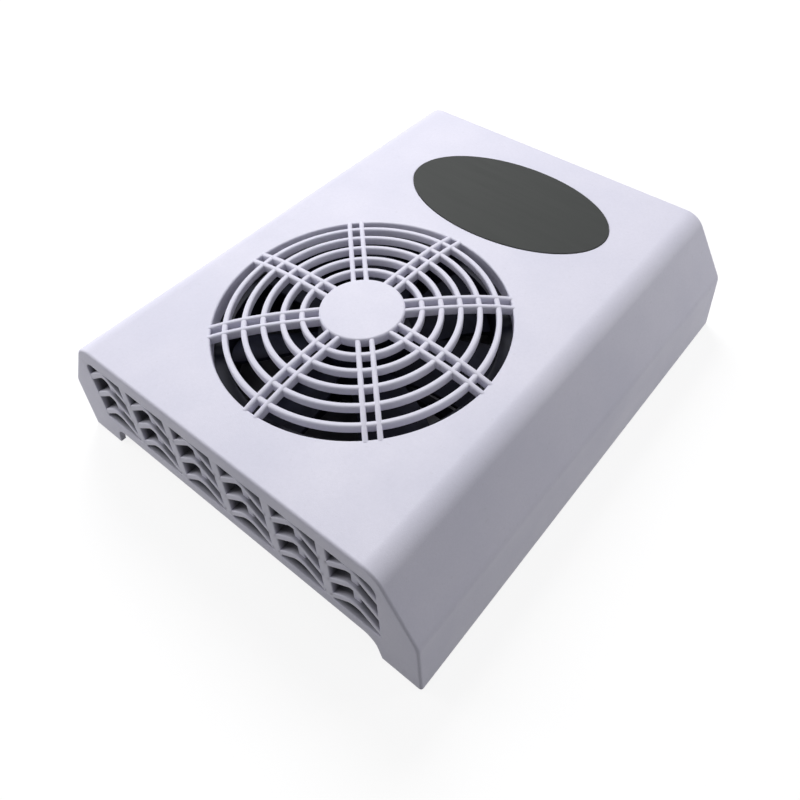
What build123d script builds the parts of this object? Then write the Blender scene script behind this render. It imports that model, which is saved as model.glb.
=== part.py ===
"""Desktop nail dust collector: a low drafted casing with a domed intake grille over a
120 mm axial fan, a chevron outlet lattice in its front wall and an oval badge plate.

Millimetres. The origin is the centre of the footprint on the table, +Z is up,
-Y is the front with the outlet lattice, +Y is the rear with the switch and the inlet.
"""
from math import atan2, cos, degrees, radians, sin, tan
import os

from build123d import *

os.makedirs("parts", exist_ok=True)

# Casing
BODY_LENGTH = 236.6        # along Y at the skirt's lower edge
BODY_WIDTH = 198.6         # along X at the skirt's lower edge
RIDGE_WIDTH = 196.4        # along X at the ridge where the sides turn in
TOP_WIDTH = 166.8          # flat top, to where its plane meets the sloping sides
CASING_HEIGHT = 63.0       # skirt's lower edge to the flat top
RIDGE_HEIGHT = 28.5        # skirt's lower edge to the ridge
END_DRAFT = 1.1            # lean of each end wall over the casing's height
GROUND_GAP = 1.0           # table to the skirt's lower edge
WALL = 2.5
TOP_EDGE_RADIUS = 20.0
RIDGE_RADIUS = 12.0
END_BEVEL = 1.1

# Outlet lattice and the raised edge under it
CELL_COUNT = 6
CELL_PITCH = 27.75
CELL_WIDTH = 22.8
CELL_TOP_DROP = 8.5        # flat top down to the cells
CELL_HEIGHT = 36.5
CELL_CORNER_RADIUS = 5.0   # outer upper corner of the two end cells
LATTICE_DEPTH = 6.5
LATTICE_BORDER = 2.7       # thick wall past the outermost cells
CHEVRON_COUNT = 3
CHEVRON_PITCH = 11.7
CHEVRON_RISE = 8.9         # ends of a rib to its apex
CHEVRON_THICKNESS = 2.5
CHEVRON_MERGE = 0.9        # first rib's apex runs this far into the rail above it
RECESS_HEIGHT = 11.5       # skirt's lower edge to the raised edge
RECESS_WIDTH = 160.0       # between the front feet, at their lower end
RECESS_SLANT = 3.0         # lean of each foot's inner edge
RECESS_RADIUS = 7.0

# Intake grille
INTAKE_SETBACK = 85.0      # front edge of the footprint to the grille's axis
INTAKE_MARGIN = 5.5        # fan's duct to the collar
COLLAR_WALL = 2.2
DOME_HEIGHT = 5.0
GRILLE_THICKNESS = 4.2     # domed surface of the bars down to their underside
DISC_RADIUS = 17.9
DISC_RISE = 0.3            # disc's face above the bar crests
RING_COUNT = 5
RING_FIRST_RADIUS = 24.5
RING_MARGIN = 6.2          # last ring's middle to the collar
RING_WIDTH = 2.4
RING_SINK = 0.2            # rings stand back this far inside the bars, above and below
SPOKE_COUNT = 8
BAR_WIDTH = 2.2
BAR_SPACING = 5.6          # between the two bars of a spoke

# Badge
BADGE_LENGTH = 106.6
BADGE_WIDTH = 60.6
BADGE_X = 1.5
BADGE_BEHIND_INTAKE = 103.7
BADGE_TURN = 2.5           # degrees
BADGE_THICKNESS = 0.8
BADGE_RECESS = 0.5
BADGE_CLEARANCE = 0.25

# Fan
FAN_SIZE = 120.0
FAN_DEPTH = 25.0
FAN_DROP = 8.0             # flat top down to the fan's inlet side
FAN_CORNER_RADIUS = 5.0
FAN_HOLE_INSET = 7.5       # frame's edge to the middle of a screw hole
FAN_HOLE_RADIUS = 2.15
FAN_BOSS_RADIUS = 4.3
DUCT_WALL = 2.0            # at the middle of a side
STRUT_WIDTH = 5.0
STRUT_DEPTH = 3.5
MOTOR_BASE_RADIUS = 20.0
MOTOR_BASE_THICKNESS = 2.0
BLADE_COUNT = 7
BLADE_TIP_GAP = 1.2
BLADE_THICKNESS = 1.6
BLADE_CAMBER = 4.0
BLADE_ROOT_WIDTH = 14.0    # seen from above
BLADE_TIP_WIDTH = 31.0
BLADE_PITCH = 27.0         # degrees from the plane of rotation
BLADE_SWEEP = 14.0         # degrees by which the tip leads the root
BLADE_BOW = 2.5            # leading and trailing edges curve forward by this
BLADE_DROP = 11.0          # fan's inlet side down to the blades' mid-height
HUB_RADIUS = 20.0
HUB_WALL = 2.0
HUB_HEIGHT = 19.0
HUB_INLET_GAP = 1.0        # fan's inlet side down to the hub's face
HUB_BOSS_RADIUS = 4.0
HUB_BOSS_DEPTH = 4.0

# Fan motor
MOTOR_RADIUS = 16.0
MOTOR_HEIGHT = 15.0
SHAFT_RADIUS = 1.5
SHAFT_END_GAP = 0.3        # motor base to the shaft's lower end

# Base and feet
BASE_THICKNESS = 2.5
BASE_CLEARANCE = 0.3
BOSS_SIDE_SETBACK = 13.3   # base bosses, feet and screws, from the side of the footprint
BOSS_FRONT_SETBACK = 15.3  # from the front edge of the footprint
BOSS_REAR_SETBACK = 11.3   # from the rear edge of the footprint
BASE_BOSS_WIDTH = 8.0
POST_WIDTH = 13.0
WELL_WIDTH = 8.4           # room for a screw's head and its driver
FOOT_WIDTH = 13.6
FOOT_THICKNESS = 3.0

# Screws
FAN_SCREW_RADIUS = 1.95
FAN_SCREW_GRIP = 5.0       # length inside the boss
BASE_SCREW_RADIUS = 1.45
BASE_SCREW_GRIP = 9.0
BASE_HOLE_RADIUS = 1.7
PILOT_SPARE = 0.6          # pilot hole past the screw's tip

# Rear controls
CONTROL_HEIGHT = 33.0      # above the table
SWITCH_X = 28.0
BEZEL_WIDTH = 15.0
BEZEL_HEIGHT = 21.0
BEZEL_THICKNESS = 1.2
BEZEL_EDGE = 0.5           # bevel
SWITCH_BODY_WIDTH = 13.0
SWITCH_BODY_HEIGHT = 19.0
SWITCH_BODY_DEPTH = 13.0
SWITCH_CLEARANCE = 0.1
ROCKER_WIDTH = 10.4
ROCKER_RADIUS = 8.2
ROCKER_SIDE_GAP = 0.2
ROCKER_END_GAP = 0.3
ROCKER_TILT = 9.0          # degrees each way from level
ROCKER_DISH = 0.3          # bezel's face down to the rocker's middle
PIVOT_DEPTH = 2.6          # bezel's face to the pivot
ROCKER_DEPTH = 3.2         # pivot to the rocker's underside
PIVOT_RADIUS = 1.0
PIVOT_REACH = 0.8          # pin's length inside each side wall
PIVOT_CLEARANCE = 0.05
TERMINAL_WIDTH = 4.8
TERMINAL_THICKNESS = 0.8
TERMINAL_LENGTH = 8.0
TERMINAL_SPACING = 9.0
INLET_X = 60.0
INLET_FLANGE_RADIUS = 5.6
INLET_FLANGE_THICKNESS = 1.8
INLET_RADIUS = 4.0
INLET_DEPTH = 14.0         # behind the wall's outer face
INLET_BORE_RADIUS = 3.0
INLET_BORE_DEPTH = 10.0
INLET_PIN_RADIUS = 1.05
INLET_PIN_SETBACK = 0.8    # flange's face to the pin's tip
NUT_WIDTH = 11.0           # across the flats
NUT_THICKNESS = 2.4
LUG_SPACING = 4.6
LUG_WIDTH = 2.2
LUG_THICKNESS = 0.6
LUG_LENGTH = 5.0

SEAT_CLEARANCE = 0.05      # pieces pressed or pushed into each other
OVERLAP = 1.0              # moulded features run this far into their wall

# Heights and places that follow from the sizes above
SKIRT_Z = GROUND_GAP
RIDGE_Z = SKIRT_Z + RIDGE_HEIGHT
TOP_Z = SKIRT_Z + CASING_HEIGHT
RECESS_Z = SKIRT_Z + RECESS_HEIGHT
FLOOR_Z = RECESS_Z + BASE_THICKNESS
FRONT_Y = -BODY_LENGTH / 2
INTAKE_Y = FRONT_Y + INTAKE_SETBACK
FAN_TOP_Z = TOP_Z - FAN_DROP
FAN_Z = FAN_TOP_Z - FAN_DEPTH
MOTOR_Z = FAN_Z + MOTOR_BASE_THICKNESS
HUB_TOP_Z = FAN_TOP_Z - HUB_INLET_GAP
HUB_CEILING_Z = HUB_TOP_Z - HUB_WALL
BLADE_Z = FAN_TOP_Z - BLADE_DROP - BLADE_CAMBER / 2
MOTOR_TOP_Z = MOTOR_Z + MOTOR_HEIGHT
DUCT_RADIUS = FAN_SIZE / 2 - DUCT_WALL
FAN_SCREW_SPACING = FAN_SIZE - 2 * FAN_HOLE_INSET
INTAKE_RADIUS = DUCT_RADIUS + INTAKE_MARGIN
RING_PITCH = (INTAKE_RADIUS - RING_MARGIN - RING_FIRST_RADIUS) / (RING_COUNT - 1)
BOSS_X = BODY_WIDTH / 2 - BOSS_SIDE_SETBACK
DOME_RADIUS = (INTAKE_RADIUS ** 2 + DOME_HEIGHT ** 2) / (2 * DOME_HEIGHT)
DOME_CENTRE_Z = TOP_Z + DOME_HEIGHT - DOME_RADIUS
REAR_Y = -FRONT_Y - END_DRAFT * (CONTROL_HEIGHT - SKIRT_Z) / CASING_HEIGHT
BEZEL_Y = REAR_Y + BEZEL_THICKNESS
PIVOT_Y = BEZEL_Y - PIVOT_DEPTH
REAR_LEAN = degrees(atan2(END_DRAFT, CASING_HEIGHT))

FAN_AXIS = Pos(0, INTAKE_Y, 0)
BOSS_FRONT_Y = FRONT_Y + BOSS_FRONT_SETBACK
BOSS_REAR_Y = -FRONT_Y - BOSS_REAR_SETBACK
CORNERS = [(x, y) for y in (BOSS_FRONT_Y, BOSS_REAR_Y) for x in (-BOSS_X, BOSS_X)]
FAN_BOSSES = [(x * FAN_SCREW_SPACING / 2, INTAKE_Y + y * FAN_SCREW_SPACING / 2)
              for x in (-1, 1) for y in (-1, 1)]


def column(radius, low, high, bore=0.0):
    """An upright cylinder or tube between two heights, on the Z axis."""
    face = Circle(radius) - Circle(bore) if bore else Circle(radius)
    return Pos(0, 0, low) * extrude(face, high - low)


def plug(radius, front, back):
    """A cylinder along Y between two values of y, on the Y axis."""
    return extrude(Plane.XZ.offset(-back) * Circle(radius), back - front)


def block(width, low, high):
    """A box centred on X between two (y, z) corners."""
    size = Box(width, high[0] - low[0], high[1] - low[1])
    return Pos(0, (low[0] + high[0]) / 2, (low[1] + high[1]) / 2) * size


# Casing


def casing_block(inset=0.0, drop=0.0):
    """The casing's outer form, moved in by inset, with its lower side drop lower."""
    lean = (BODY_WIDTH - RIDGE_WIDTH) / 2 / RIDGE_HEIGHT
    half = [(BODY_WIDTH / 2 + lean * drop, SKIRT_Z - drop), (RIDGE_WIDTH / 2, RIDGE_Z),
            (TOP_WIDTH / 2, TOP_Z)]
    points = half + [(-x, z) for x, z in reversed(half)]
    section = make_face(Polyline(*points, close=True))
    section = fillet(section.vertices().sort_by(Axis.Y)[-2:], TOP_EDGE_RADIUS)
    ridge = section.vertices().filter_by_position(Axis.Y, RIDGE_Z - 0.1, RIDGE_Z + 0.1)
    section = fillet(ridge, RIDGE_RADIUS)
    foot = BODY_LENGTH / 2 + END_DRAFT * drop / CASING_HEIGHT
    top = BODY_LENGTH / 2 - END_DRAFT
    side = make_face(Polyline((foot, SKIRT_Z - drop), (top, TOP_Z), (-top, TOP_Z),
                              (-foot, SKIRT_Z - drop), close=True))
    if inset:
        section = offset(section, -inset, kind=Kind.INTERSECTION)
        side = offset(side, -inset, kind=Kind.INTERSECTION)
    along = extrude(Plane.XZ * section, BODY_LENGTH, both=True)
    return along & extrude(Plane.YZ * side, BODY_WIDTH, both=True)


def bevel_ends(body):
    """Bevel the edges round both end faces of the casing, apart from their lower edges."""
    ends = body.faces().sort_by(Axis.Y)
    edges = [e for end in (ends[0], ends[-1]) for e in end.edges()
             if e.center().Z > SKIRT_Z + OVERLAP / 2]
    return chamfer(edges, END_BEVEL)


def chevron(apex_drop):
    """One rib of a lattice cell, its apex apex_drop under the flat top."""
    reach = 1 + OVERLAP / CELL_WIDTH
    half = CELL_WIDTH / 2 * reach
    rise = CHEVRON_RISE * reach
    thick = CHEVRON_THICKNESS / cos(atan2(rise, half)) / 2
    points = [(-half, -rise - thick), (0, -thick), (half, -rise - thick),
              (half, -rise + thick), (0, thick), (-half, -rise + thick)]
    return Pos(0, -apex_drop) * make_face(Polyline(*points, close=True))


def lattice_cell(side):
    """Openings of one cell; side is -1 or 1 for an end cell, with a rounded outer
    corner, and 0 for the others."""
    cell = Rectangle(CELL_WIDTH, CELL_HEIGHT)
    if side:
        corner = cell.vertices().sort_by(lambda v: v.Y + side * v.X)[-1]
        cell = fillet(corner, CELL_CORNER_RADIUS)
    cell = Pos(0, -CELL_TOP_DROP - CELL_HEIGHT / 2) * cell
    slope = atan2(CHEVRON_RISE, CELL_WIDTH / 2)
    first = CELL_TOP_DROP - CHEVRON_MERGE + CHEVRON_THICKNESS / cos(slope) / 2
    for i in range(CHEVRON_COUNT):
        cell -= chevron(first + i * CHEVRON_PITCH)
    return cell


def lattice_openings():
    """Cutters for all the openings of the outlet lattice."""
    front = Plane.XZ.offset(-FRONT_Y + OVERLAP)
    depth = LATTICE_DEPTH + END_DRAFT + 2 * OVERLAP
    cutters = []
    for i in range(CELL_COUNT):
        side = {0: -1, CELL_COUNT - 1: 1}.get(i, 0)
        place = Pos((i - (CELL_COUNT - 1) / 2) * CELL_PITCH, TOP_Z)
        cell = front * (place * lattice_cell(side))
        cutters += [extrude(opening, -depth) for opening in cell.faces()]
    return cutters


def lattice_block():
    """The front wall's thicker middle, which holds the lattice."""
    width = (CELL_COUNT - 1) * CELL_PITCH + CELL_WIDTH + 2 * LATTICE_BORDER
    upper = TOP_Z - CELL_TOP_DROP + LATTICE_BORDER
    wall = casing_block() - casing_block(LATTICE_DEPTH, LATTICE_DEPTH + OVERLAP)
    return wall & block(width, (FRONT_Y, RECESS_Z), (FRONT_Y + 2 * LATTICE_DEPTH, upper))


def recess_cutter():
    """The space between the front feet, under the raised edge of the front wall."""
    low = RECESS_WIDTH / 2 + RECESS_SLANT * OVERLAP / RECESS_HEIGHT
    high = RECESS_WIDTH / 2 - RECESS_SLANT
    low_z = SKIRT_Z - OVERLAP
    outline = make_face(Polyline((-low, low_z), (-high, RECESS_Z), (high, RECESS_Z),
                                 (low, low_z), close=True))
    outline = fillet(outline.vertices().sort_by(Axis.Y)[-2:], RECESS_RADIUS)
    depth = LATTICE_DEPTH + END_DRAFT + 2 * OVERLAP
    return extrude(Plane.XZ.offset(-FRONT_Y + OVERLAP) * outline, -depth)


def fan_boss():
    """A round boss over the fan's corner, with its screw's pilot hole."""
    hole = column(FAN_SCREW_RADIUS + SEAT_CLEARANCE, FAN_TOP_Z - OVERLAP,
                  FAN_TOP_Z + FAN_SCREW_GRIP + PILOT_SPARE)
    return column(FAN_BOSS_RADIUS, FAN_TOP_Z, TOP_Z), hole


def base_boss():
    """A square boss down to the base plate, with its screw's pilot hole."""
    half = BASE_BOSS_WIDTH / 2
    hole = column(BASE_SCREW_RADIUS + SEAT_CLEARANCE, FLOOR_Z - OVERLAP,
                  FLOOR_Z + BASE_SCREW_GRIP + PILOT_SPARE)
    return block(BASE_BOSS_WIDTH, (-half, FLOOR_Z), (half, TOP_Z)), hole


# Intake grille, in a frame on the fan's axis


def dome_z(radius):
    """Height of the grille's domed surface at a distance from its axis."""
    return DOME_CENTRE_Z + (DOME_RADIUS ** 2 - radius ** 2) ** 0.5


def grille_ring(radius):
    """One ring, level all round, at the height of the dome there."""
    half = RING_WIDTH / 2
    crest = dome_z(radius) - RING_SINK
    low = dome_z(radius) - GRILLE_THICKNESS + RING_SINK
    return column(radius + half, low, crest, bore=radius - half)


def grille_bars():
    """The two bars of a spoke and of the spoke opposite it, bent with the dome; they run
    from inside the disc's edge into the collar."""
    reach = INTAKE_RADIUS + COLLAR_WALL / 2
    bend = Circle(DOME_RADIUS) - Circle(DOME_RADIUS - GRILLE_THICKNESS)
    room = 2 * (GRILLE_THICKNESS + DOME_HEIGHT)
    side = Pos(0, DOME_CENTRE_Z) * bend & Pos(0, TOP_Z) * Rectangle(2 * reach, 2 * room)
    span = column(reach, TOP_Z - room, TOP_Z + room, bore=DISC_RADIUS - 2 * BAR_WIDTH)
    bar = extrude(Plane.XZ * side, BAR_WIDTH / 2, both=True) & span
    return [Pos(0, y, 0) * bar for y in (-BAR_SPACING / 2, BAR_SPACING / 2)]


def grille_disc():
    """The plain disc at the grille's centre."""
    return column(DISC_RADIUS, dome_z(DISC_RADIUS) - GRILLE_THICKNESS, dome_z(0) + DISC_RISE)


def grille():
    """All the pieces of the intake grille, moulded as one with the casing."""
    rings = [grille_ring(RING_FIRST_RADIUS + i * RING_PITCH) for i in range(RING_COUNT)]
    pair = grille_bars()
    turn = 360 / SPOKE_COUNT
    bars = [Rot(0, 0, i * turn) * bar for i in range(SPOKE_COUNT // 2) for bar in pair]
    return [grille_disc()] + rings + bars


def badge_outline(clearance=0.0):
    """The badge's oval, on the flat top."""
    oval = Ellipse(BADGE_LENGTH / 2 + clearance, BADGE_WIDTH / 2 + clearance)
    return Pos(BADGE_X, INTAKE_Y + BADGE_BEHIND_INTAKE) * Rot(0, 0, BADGE_TURN) * oval


def top_shell():
    """The moulded casing: lattice, intake with collar and grille, bosses, rear cut-outs."""
    outer = casing_block()
    shell = bevel_ends(outer) - casing_block(WALL, WALL + OVERLAP)
    shell += lattice_block()

    bosses = [(Pos(x, y), fan_boss()) for x, y in FAN_BOSSES]
    bosses += [(Pos(x, y), base_boss()) for x, y in CORNERS]
    inside = casing_block(OVERLAP)
    shell += [place * solid & inside for place, (solid, hole) in bosses]
    shell += FAN_AXIS * column(INTAKE_RADIUS + COLLAR_WALL, FAN_TOP_Z, TOP_Z - OVERLAP)

    shell -= FAN_AXIS * column(INTAKE_RADIUS, FAN_TOP_Z - OVERLAP, TOP_Z + OVERLAP)
    shell -= [place * hole for place, (solid, hole) in bosses]
    shell -= recess_cutter()
    shell -= lattice_openings()
    shell -= Pos(0, 0, TOP_Z - BADGE_RECESS) * extrude(badge_outline(BADGE_CLEARANCE), OVERLAP)
    shell -= Pos(SWITCH_X) * block(SWITCH_BODY_WIDTH + 2 * SWITCH_CLEARANCE,
                                   (REAR_Y - 2 * WALL, CONTROL_HEIGHT - SWITCH_BODY_HEIGHT / 2
                                    - SWITCH_CLEARANCE),
                                   (REAR_Y + WALL, CONTROL_HEIGHT + SWITCH_BODY_HEIGHT / 2
                                    + SWITCH_CLEARANCE))
    shell -= Pos(INLET_X, 0, CONTROL_HEIGHT) * plug(INLET_RADIUS + SWITCH_CLEARANCE,
                                                    REAR_Y - 2 * WALL, REAR_Y + WALL)
    return shell + [FAN_AXIS * piece for piece in grille()]


def oval_badge():
    return Pos(0, 0, TOP_Z - BADGE_RECESS) * extrude(badge_outline(), BADGE_THICKNESS)


# Base plate and feet


def base_plate():
    """The plate inside the skirt, with a hollow post for each foot."""
    slab = block(BODY_WIDTH, (FRONT_Y, RECESS_Z), (-FRONT_Y, FLOOR_Z))
    plate = casing_block(WALL + BASE_CLEARANCE, WALL + BASE_CLEARANCE + OVERLAP) & slab
    lattice_back = FRONT_Y + LATTICE_DEPTH + END_DRAFT
    plate -= block(BODY_WIDTH, (FRONT_Y, RECESS_Z), (lattice_back, FLOOR_Z))
    for x, y in CORNERS:
        post = block(POST_WIDTH, (-POST_WIDTH / 2, FOOT_THICKNESS), (POST_WIDTH / 2, RECESS_Z))
        well = block(WELL_WIDTH, (-WELL_WIDTH / 2, FOOT_THICKNESS), (WELL_WIDTH / 2, RECESS_Z))
        plate += Pos(x, y) * (post - well)
        plate -= Pos(x, y) * column(BASE_HOLE_RADIUS, RECESS_Z - OVERLAP, FLOOR_Z + OVERLAP)
    return plate


def rubber_foot(x, y):
    """A square pad under a post, which covers the screw in its well."""
    half = FOOT_WIDTH / 2
    return Pos(x, y) * block(FOOT_WIDTH, (-half, 0), (half, FOOT_THICKNESS))


# Fan frame, on the fan's axis


def fan_frame():
    """Closed-cornered square frame with a round duct, four struts and the motor's housing,
    which reaches up inside the hub and guides the shaft."""
    flange = RectangleRounded(FAN_SIZE, FAN_SIZE, FAN_CORNER_RADIUS) - Circle(DUCT_RADIUS)
    half = FAN_SCREW_SPACING / 2
    flange -= [Pos(x, y) * Circle(FAN_HOLE_RADIUS) for x in (-half, half) for y in (-half, half)]
    frame = Pos(0, 0, FAN_Z) * extrude(flange, FAN_DEPTH)
    reach = DUCT_RADIUS + OVERLAP
    strut = Pos(reach / 2, 0, FAN_Z + STRUT_DEPTH / 2) * Box(reach, STRUT_WIDTH, STRUT_DEPTH)
    frame += [Rot(0, 0, turn) * strut for turn in (0, 90, 180, 270)]
    frame += column(MOTOR_BASE_RADIUS, FAN_Z, MOTOR_Z)
    frame += column(MOTOR_RADIUS, MOTOR_Z, MOTOR_TOP_Z)
    return FAN_AXIS * (frame - column(SHAFT_RADIUS + SEAT_CLEARANCE, MOTOR_Z, MOTOR_TOP_Z))


# Rotor, on the fan's axis


def blade():
    """One blade: a cambered sheet cut to a bowed outline that leans forward and widens
    towards the tip; it turns counter-clockwise seen from above, leading edge up."""
    root = Vector(HUB_RADIUS - HUB_WALL, 0)
    tip = Vector(DUCT_RADIUS, 0).rotate(Axis.Z, BLADE_SWEEP)
    span = (tip - root).length + OVERLAP
    line = Pos(*root) * Rot(0, 0, degrees(atan2(tip.Y, tip.X - root.X)))

    half = BLADE_TIP_WIDTH
    thick = BLADE_THICKNESS / 2
    upper = ThreePointArc((-half, thick), (0, BLADE_CAMBER + thick), (half, thick))
    lower = ThreePointArc((-half, -thick), (0, BLADE_CAMBER - thick), (half, -thick))
    ends = [Line((-half, -thick), (-half, thick)), Line((half, -thick), (half, thick))]
    section = Rot(0, 0, BLADE_PITCH) * make_face([upper, lower] + ends)
    across = Plane((0, 0, BLADE_Z), x_dir=(0, 1, 0), z_dir=(1, 0, 0))
    sheet = extrude(across * section, span)

    near = BLADE_ROOT_WIDTH / 2
    far = BLADE_TIP_WIDTH / 2
    middle = (near + far) / 2
    leading = ThreePointArc((0, near), (span / 2, middle + BLADE_BOW), (span, far))
    trailing = ThreePointArc((0, -near), (span / 2, -middle + BLADE_BOW), (span, -far))
    ends = [Line((0, -near), (0, near)), Line((span, -far), (span, far))]
    outline = Pos(0, 0, FAN_Z) * extrude(make_face([leading, trailing] + ends), FAN_DEPTH)
    duct = column(DUCT_RADIUS - BLADE_TIP_GAP, FAN_Z, FAN_TOP_Z, bore=HUB_RADIUS - HUB_WALL / 2)
    return line * (sheet & outline) & duct


def fan_rotor():
    """Moulded hub and blades."""
    hub = column(HUB_RADIUS, HUB_TOP_Z - HUB_HEIGHT, HUB_TOP_Z)
    hub -= column(HUB_RADIUS - HUB_WALL, FAN_Z, HUB_CEILING_Z)
    hub += column(HUB_BOSS_RADIUS, HUB_CEILING_Z - HUB_BOSS_DEPTH, HUB_CEILING_Z)
    hub -= column(SHAFT_RADIUS, FAN_Z, HUB_CEILING_Z)
    one = blade()
    return FAN_AXIS * (hub + [Rot(0, 0, i * 360 / BLADE_COUNT) * one for i in range(BLADE_COUNT)])


def fan_shaft():
    """Steel shaft from the hub's boss down through the bearing."""
    return FAN_AXIS * column(SHAFT_RADIUS, MOTOR_Z + SHAFT_END_GAP, HUB_CEILING_Z)


# Switch, with its frame on the rear wall


def rear_bezel(outline, thickness):
    """A flange on the leaning rear wall: its outer face is upright, its back lies on the
    wall."""
    face = Plane.XZ.offset(-REAR_Y - thickness) * outline
    solid = extrude(face, thickness + OVERLAP)
    lean = Pos(0, REAR_Y, CONTROL_HEIGHT) * Rot(REAR_LEAN, 0, 0)
    wall = lean * Pos(0, -BODY_LENGTH / 2, 0) * Box(BODY_WIDTH, BODY_LENGTH, BODY_LENGTH)
    return solid - wall


def switch_housing():
    """Bezel and body of the rocker switch, with a pocket for the rocker."""
    place = Pos(SWITCH_X, CONTROL_HEIGHT)
    bezel = rear_bezel(place * Rectangle(BEZEL_WIDTH, BEZEL_HEIGHT), BEZEL_THICKNESS)
    front = bezel.faces().sort_by(Axis.Y)[-1]
    bezel = chamfer(front.edges(), BEZEL_EDGE)
    half = SWITCH_BODY_HEIGHT / 2
    body = Pos(SWITCH_X) * block(SWITCH_BODY_WIDTH,
                                 (REAR_Y - SWITCH_BODY_DEPTH, CONTROL_HEIGHT - half),
                                 (REAR_Y + BEZEL_THICKNESS / 2, CONTROL_HEIGHT + half))
    half = ROCKER_RADIUS + ROCKER_END_GAP
    swing = ROCKER_RADIUS * sin(radians(ROCKER_TILT))
    floor_y = PIVOT_Y - ROCKER_DEPTH - swing - ROCKER_END_GAP
    pocket = Pos(SWITCH_X) * block(ROCKER_WIDTH + 2 * ROCKER_SIDE_GAP,
                                   (floor_y, CONTROL_HEIGHT - half),
                                   (BEZEL_Y + OVERLAP, CONTROL_HEIGHT + half))
    pivot = Pos(SWITCH_X, PIVOT_Y, CONTROL_HEIGHT) * Rot(0, 90, 0)
    reach = ROCKER_WIDTH / 2 + ROCKER_SIDE_GAP + PIVOT_REACH + PIVOT_CLEARANCE
    holes = pivot * Cylinder(PIVOT_RADIUS + PIVOT_CLEARANCE, 2 * reach)
    return bezel + body - pocket - holes


def rocker_button():
    """Dished rocker on its pivot pins, shown tilted to off, its upper end out."""
    rise = PIVOT_DEPTH - ROCKER_DISH
    far = ROCKER_RADIUS * 1.2
    edge = rise + far * tan(radians(ROCKER_TILT))
    outline = make_face(Polyline((-far, -ROCKER_DEPTH), (-far, edge), (0, rise), (far, edge),
                                 (far, -ROCKER_DEPTH), close=True))
    outline = outline & Circle(ROCKER_RADIUS)
    level = Plane((0, 0, 0), x_dir=(0, 0, -1), z_dir=(1, 0, 0))
    rocker = extrude(level * outline, ROCKER_WIDTH / 2, both=True)
    pins = Rot(0, 90, 0) * Cylinder(PIVOT_RADIUS,
                                    ROCKER_WIDTH + 2 * (ROCKER_SIDE_GAP + PIVOT_REACH))
    return Pos(SWITCH_X, PIVOT_Y, CONTROL_HEIGHT) * Rot(-ROCKER_TILT, 0, 0) * (rocker + pins)


def switch_terminal(side):
    """A blade terminal on the switch's inner face; side is 1 for the upper one."""
    inner = REAR_Y - SWITCH_BODY_DEPTH
    half = TERMINAL_THICKNESS / 2
    z = CONTROL_HEIGHT + side * TERMINAL_SPACING / 2
    return Pos(SWITCH_X) * block(TERMINAL_WIDTH, (inner - TERMINAL_LENGTH, z - half),
                                 (inner, z + half))


# Power inlet


def inlet_socket():
    """Round panel socket with a flange outside the wall."""
    place = Pos(INLET_X, CONTROL_HEIGHT)
    flange = rear_bezel(place * Circle(INLET_FLANGE_RADIUS), INLET_FLANGE_THICKNESS)
    axis = Pos(INLET_X, 0, CONTROL_HEIGHT)
    mouth = REAR_Y + INLET_FLANGE_THICKNESS
    body = axis * plug(INLET_RADIUS, REAR_Y - INLET_DEPTH, REAR_Y + INLET_FLANGE_THICKNESS / 2)
    bore = axis * plug(INLET_BORE_RADIUS, mouth - INLET_BORE_DEPTH, mouth + OVERLAP)
    return flange + body - bore


def inlet_pin():
    """Centre contact of the socket."""
    mouth = REAR_Y + INLET_FLANGE_THICKNESS
    pin = plug(INLET_PIN_RADIUS, mouth - INLET_BORE_DEPTH, mouth - INLET_PIN_SETBACK)
    return Pos(INLET_X, 0, CONTROL_HEIGHT) * pin


def inlet_nut():
    """Hexagon nut that clamps the socket from inside."""
    back = REAR_Y - WALL - END_DRAFT / 4
    nut = RegularPolygon(NUT_WIDTH / 2, 6, major_radius=False) - Circle(
        INLET_RADIUS + SEAT_CLEARANCE)
    face = Plane.XZ.offset(-back) * (Pos(INLET_X, CONTROL_HEIGHT) * nut)
    return extrude(face, NUT_THICKNESS)


def inlet_lug(side):
    """A solder lug on the socket's inner end; side is 1 for the one nearer the edge."""
    inner = REAR_Y - INLET_DEPTH
    half = LUG_THICKNESS / 2
    return Pos(INLET_X + side * LUG_SPACING / 2) * block(
        LUG_WIDTH, (inner - LUG_LENGTH, CONTROL_HEIGHT - half), (inner, CONTROL_HEIGHT + half))


def nodes():
    """Every sub-part by its node's name."""
    made = {
        "top_shell": top_shell(),
        "oval_badge": oval_badge(),
        "base_plate": base_plate(),
        "fan_frame": fan_frame(),
        "fan_rotor": fan_rotor(),
        "fan_shaft": fan_shaft(),
        "switch_housing": switch_housing(),
        "rocker_button": rocker_button(),
        "switch_terminal_upper": switch_terminal(1),
        "switch_terminal_lower": switch_terminal(-1),
        "inlet_socket": inlet_socket(),
        "inlet_pin": inlet_pin(),
        "inlet_nut": inlet_nut(),
        "inlet_lug_near": inlet_lug(-1),
        "inlet_lug_far": inlet_lug(1),
    }
    for i, (x, y) in enumerate(CORNERS, 1):
        made[f"rubber_foot_{i}"] = rubber_foot(x, y)
    return made


for name, shape in nodes().items():
    export_step(shape, f"parts/{name}.step")
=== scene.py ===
import math
from types import SimpleNamespace

import bmesh
import bpy
import numpy as np
from mathutils import Matrix, Vector
from mathutils.geometry import tessellate_polygon


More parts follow.
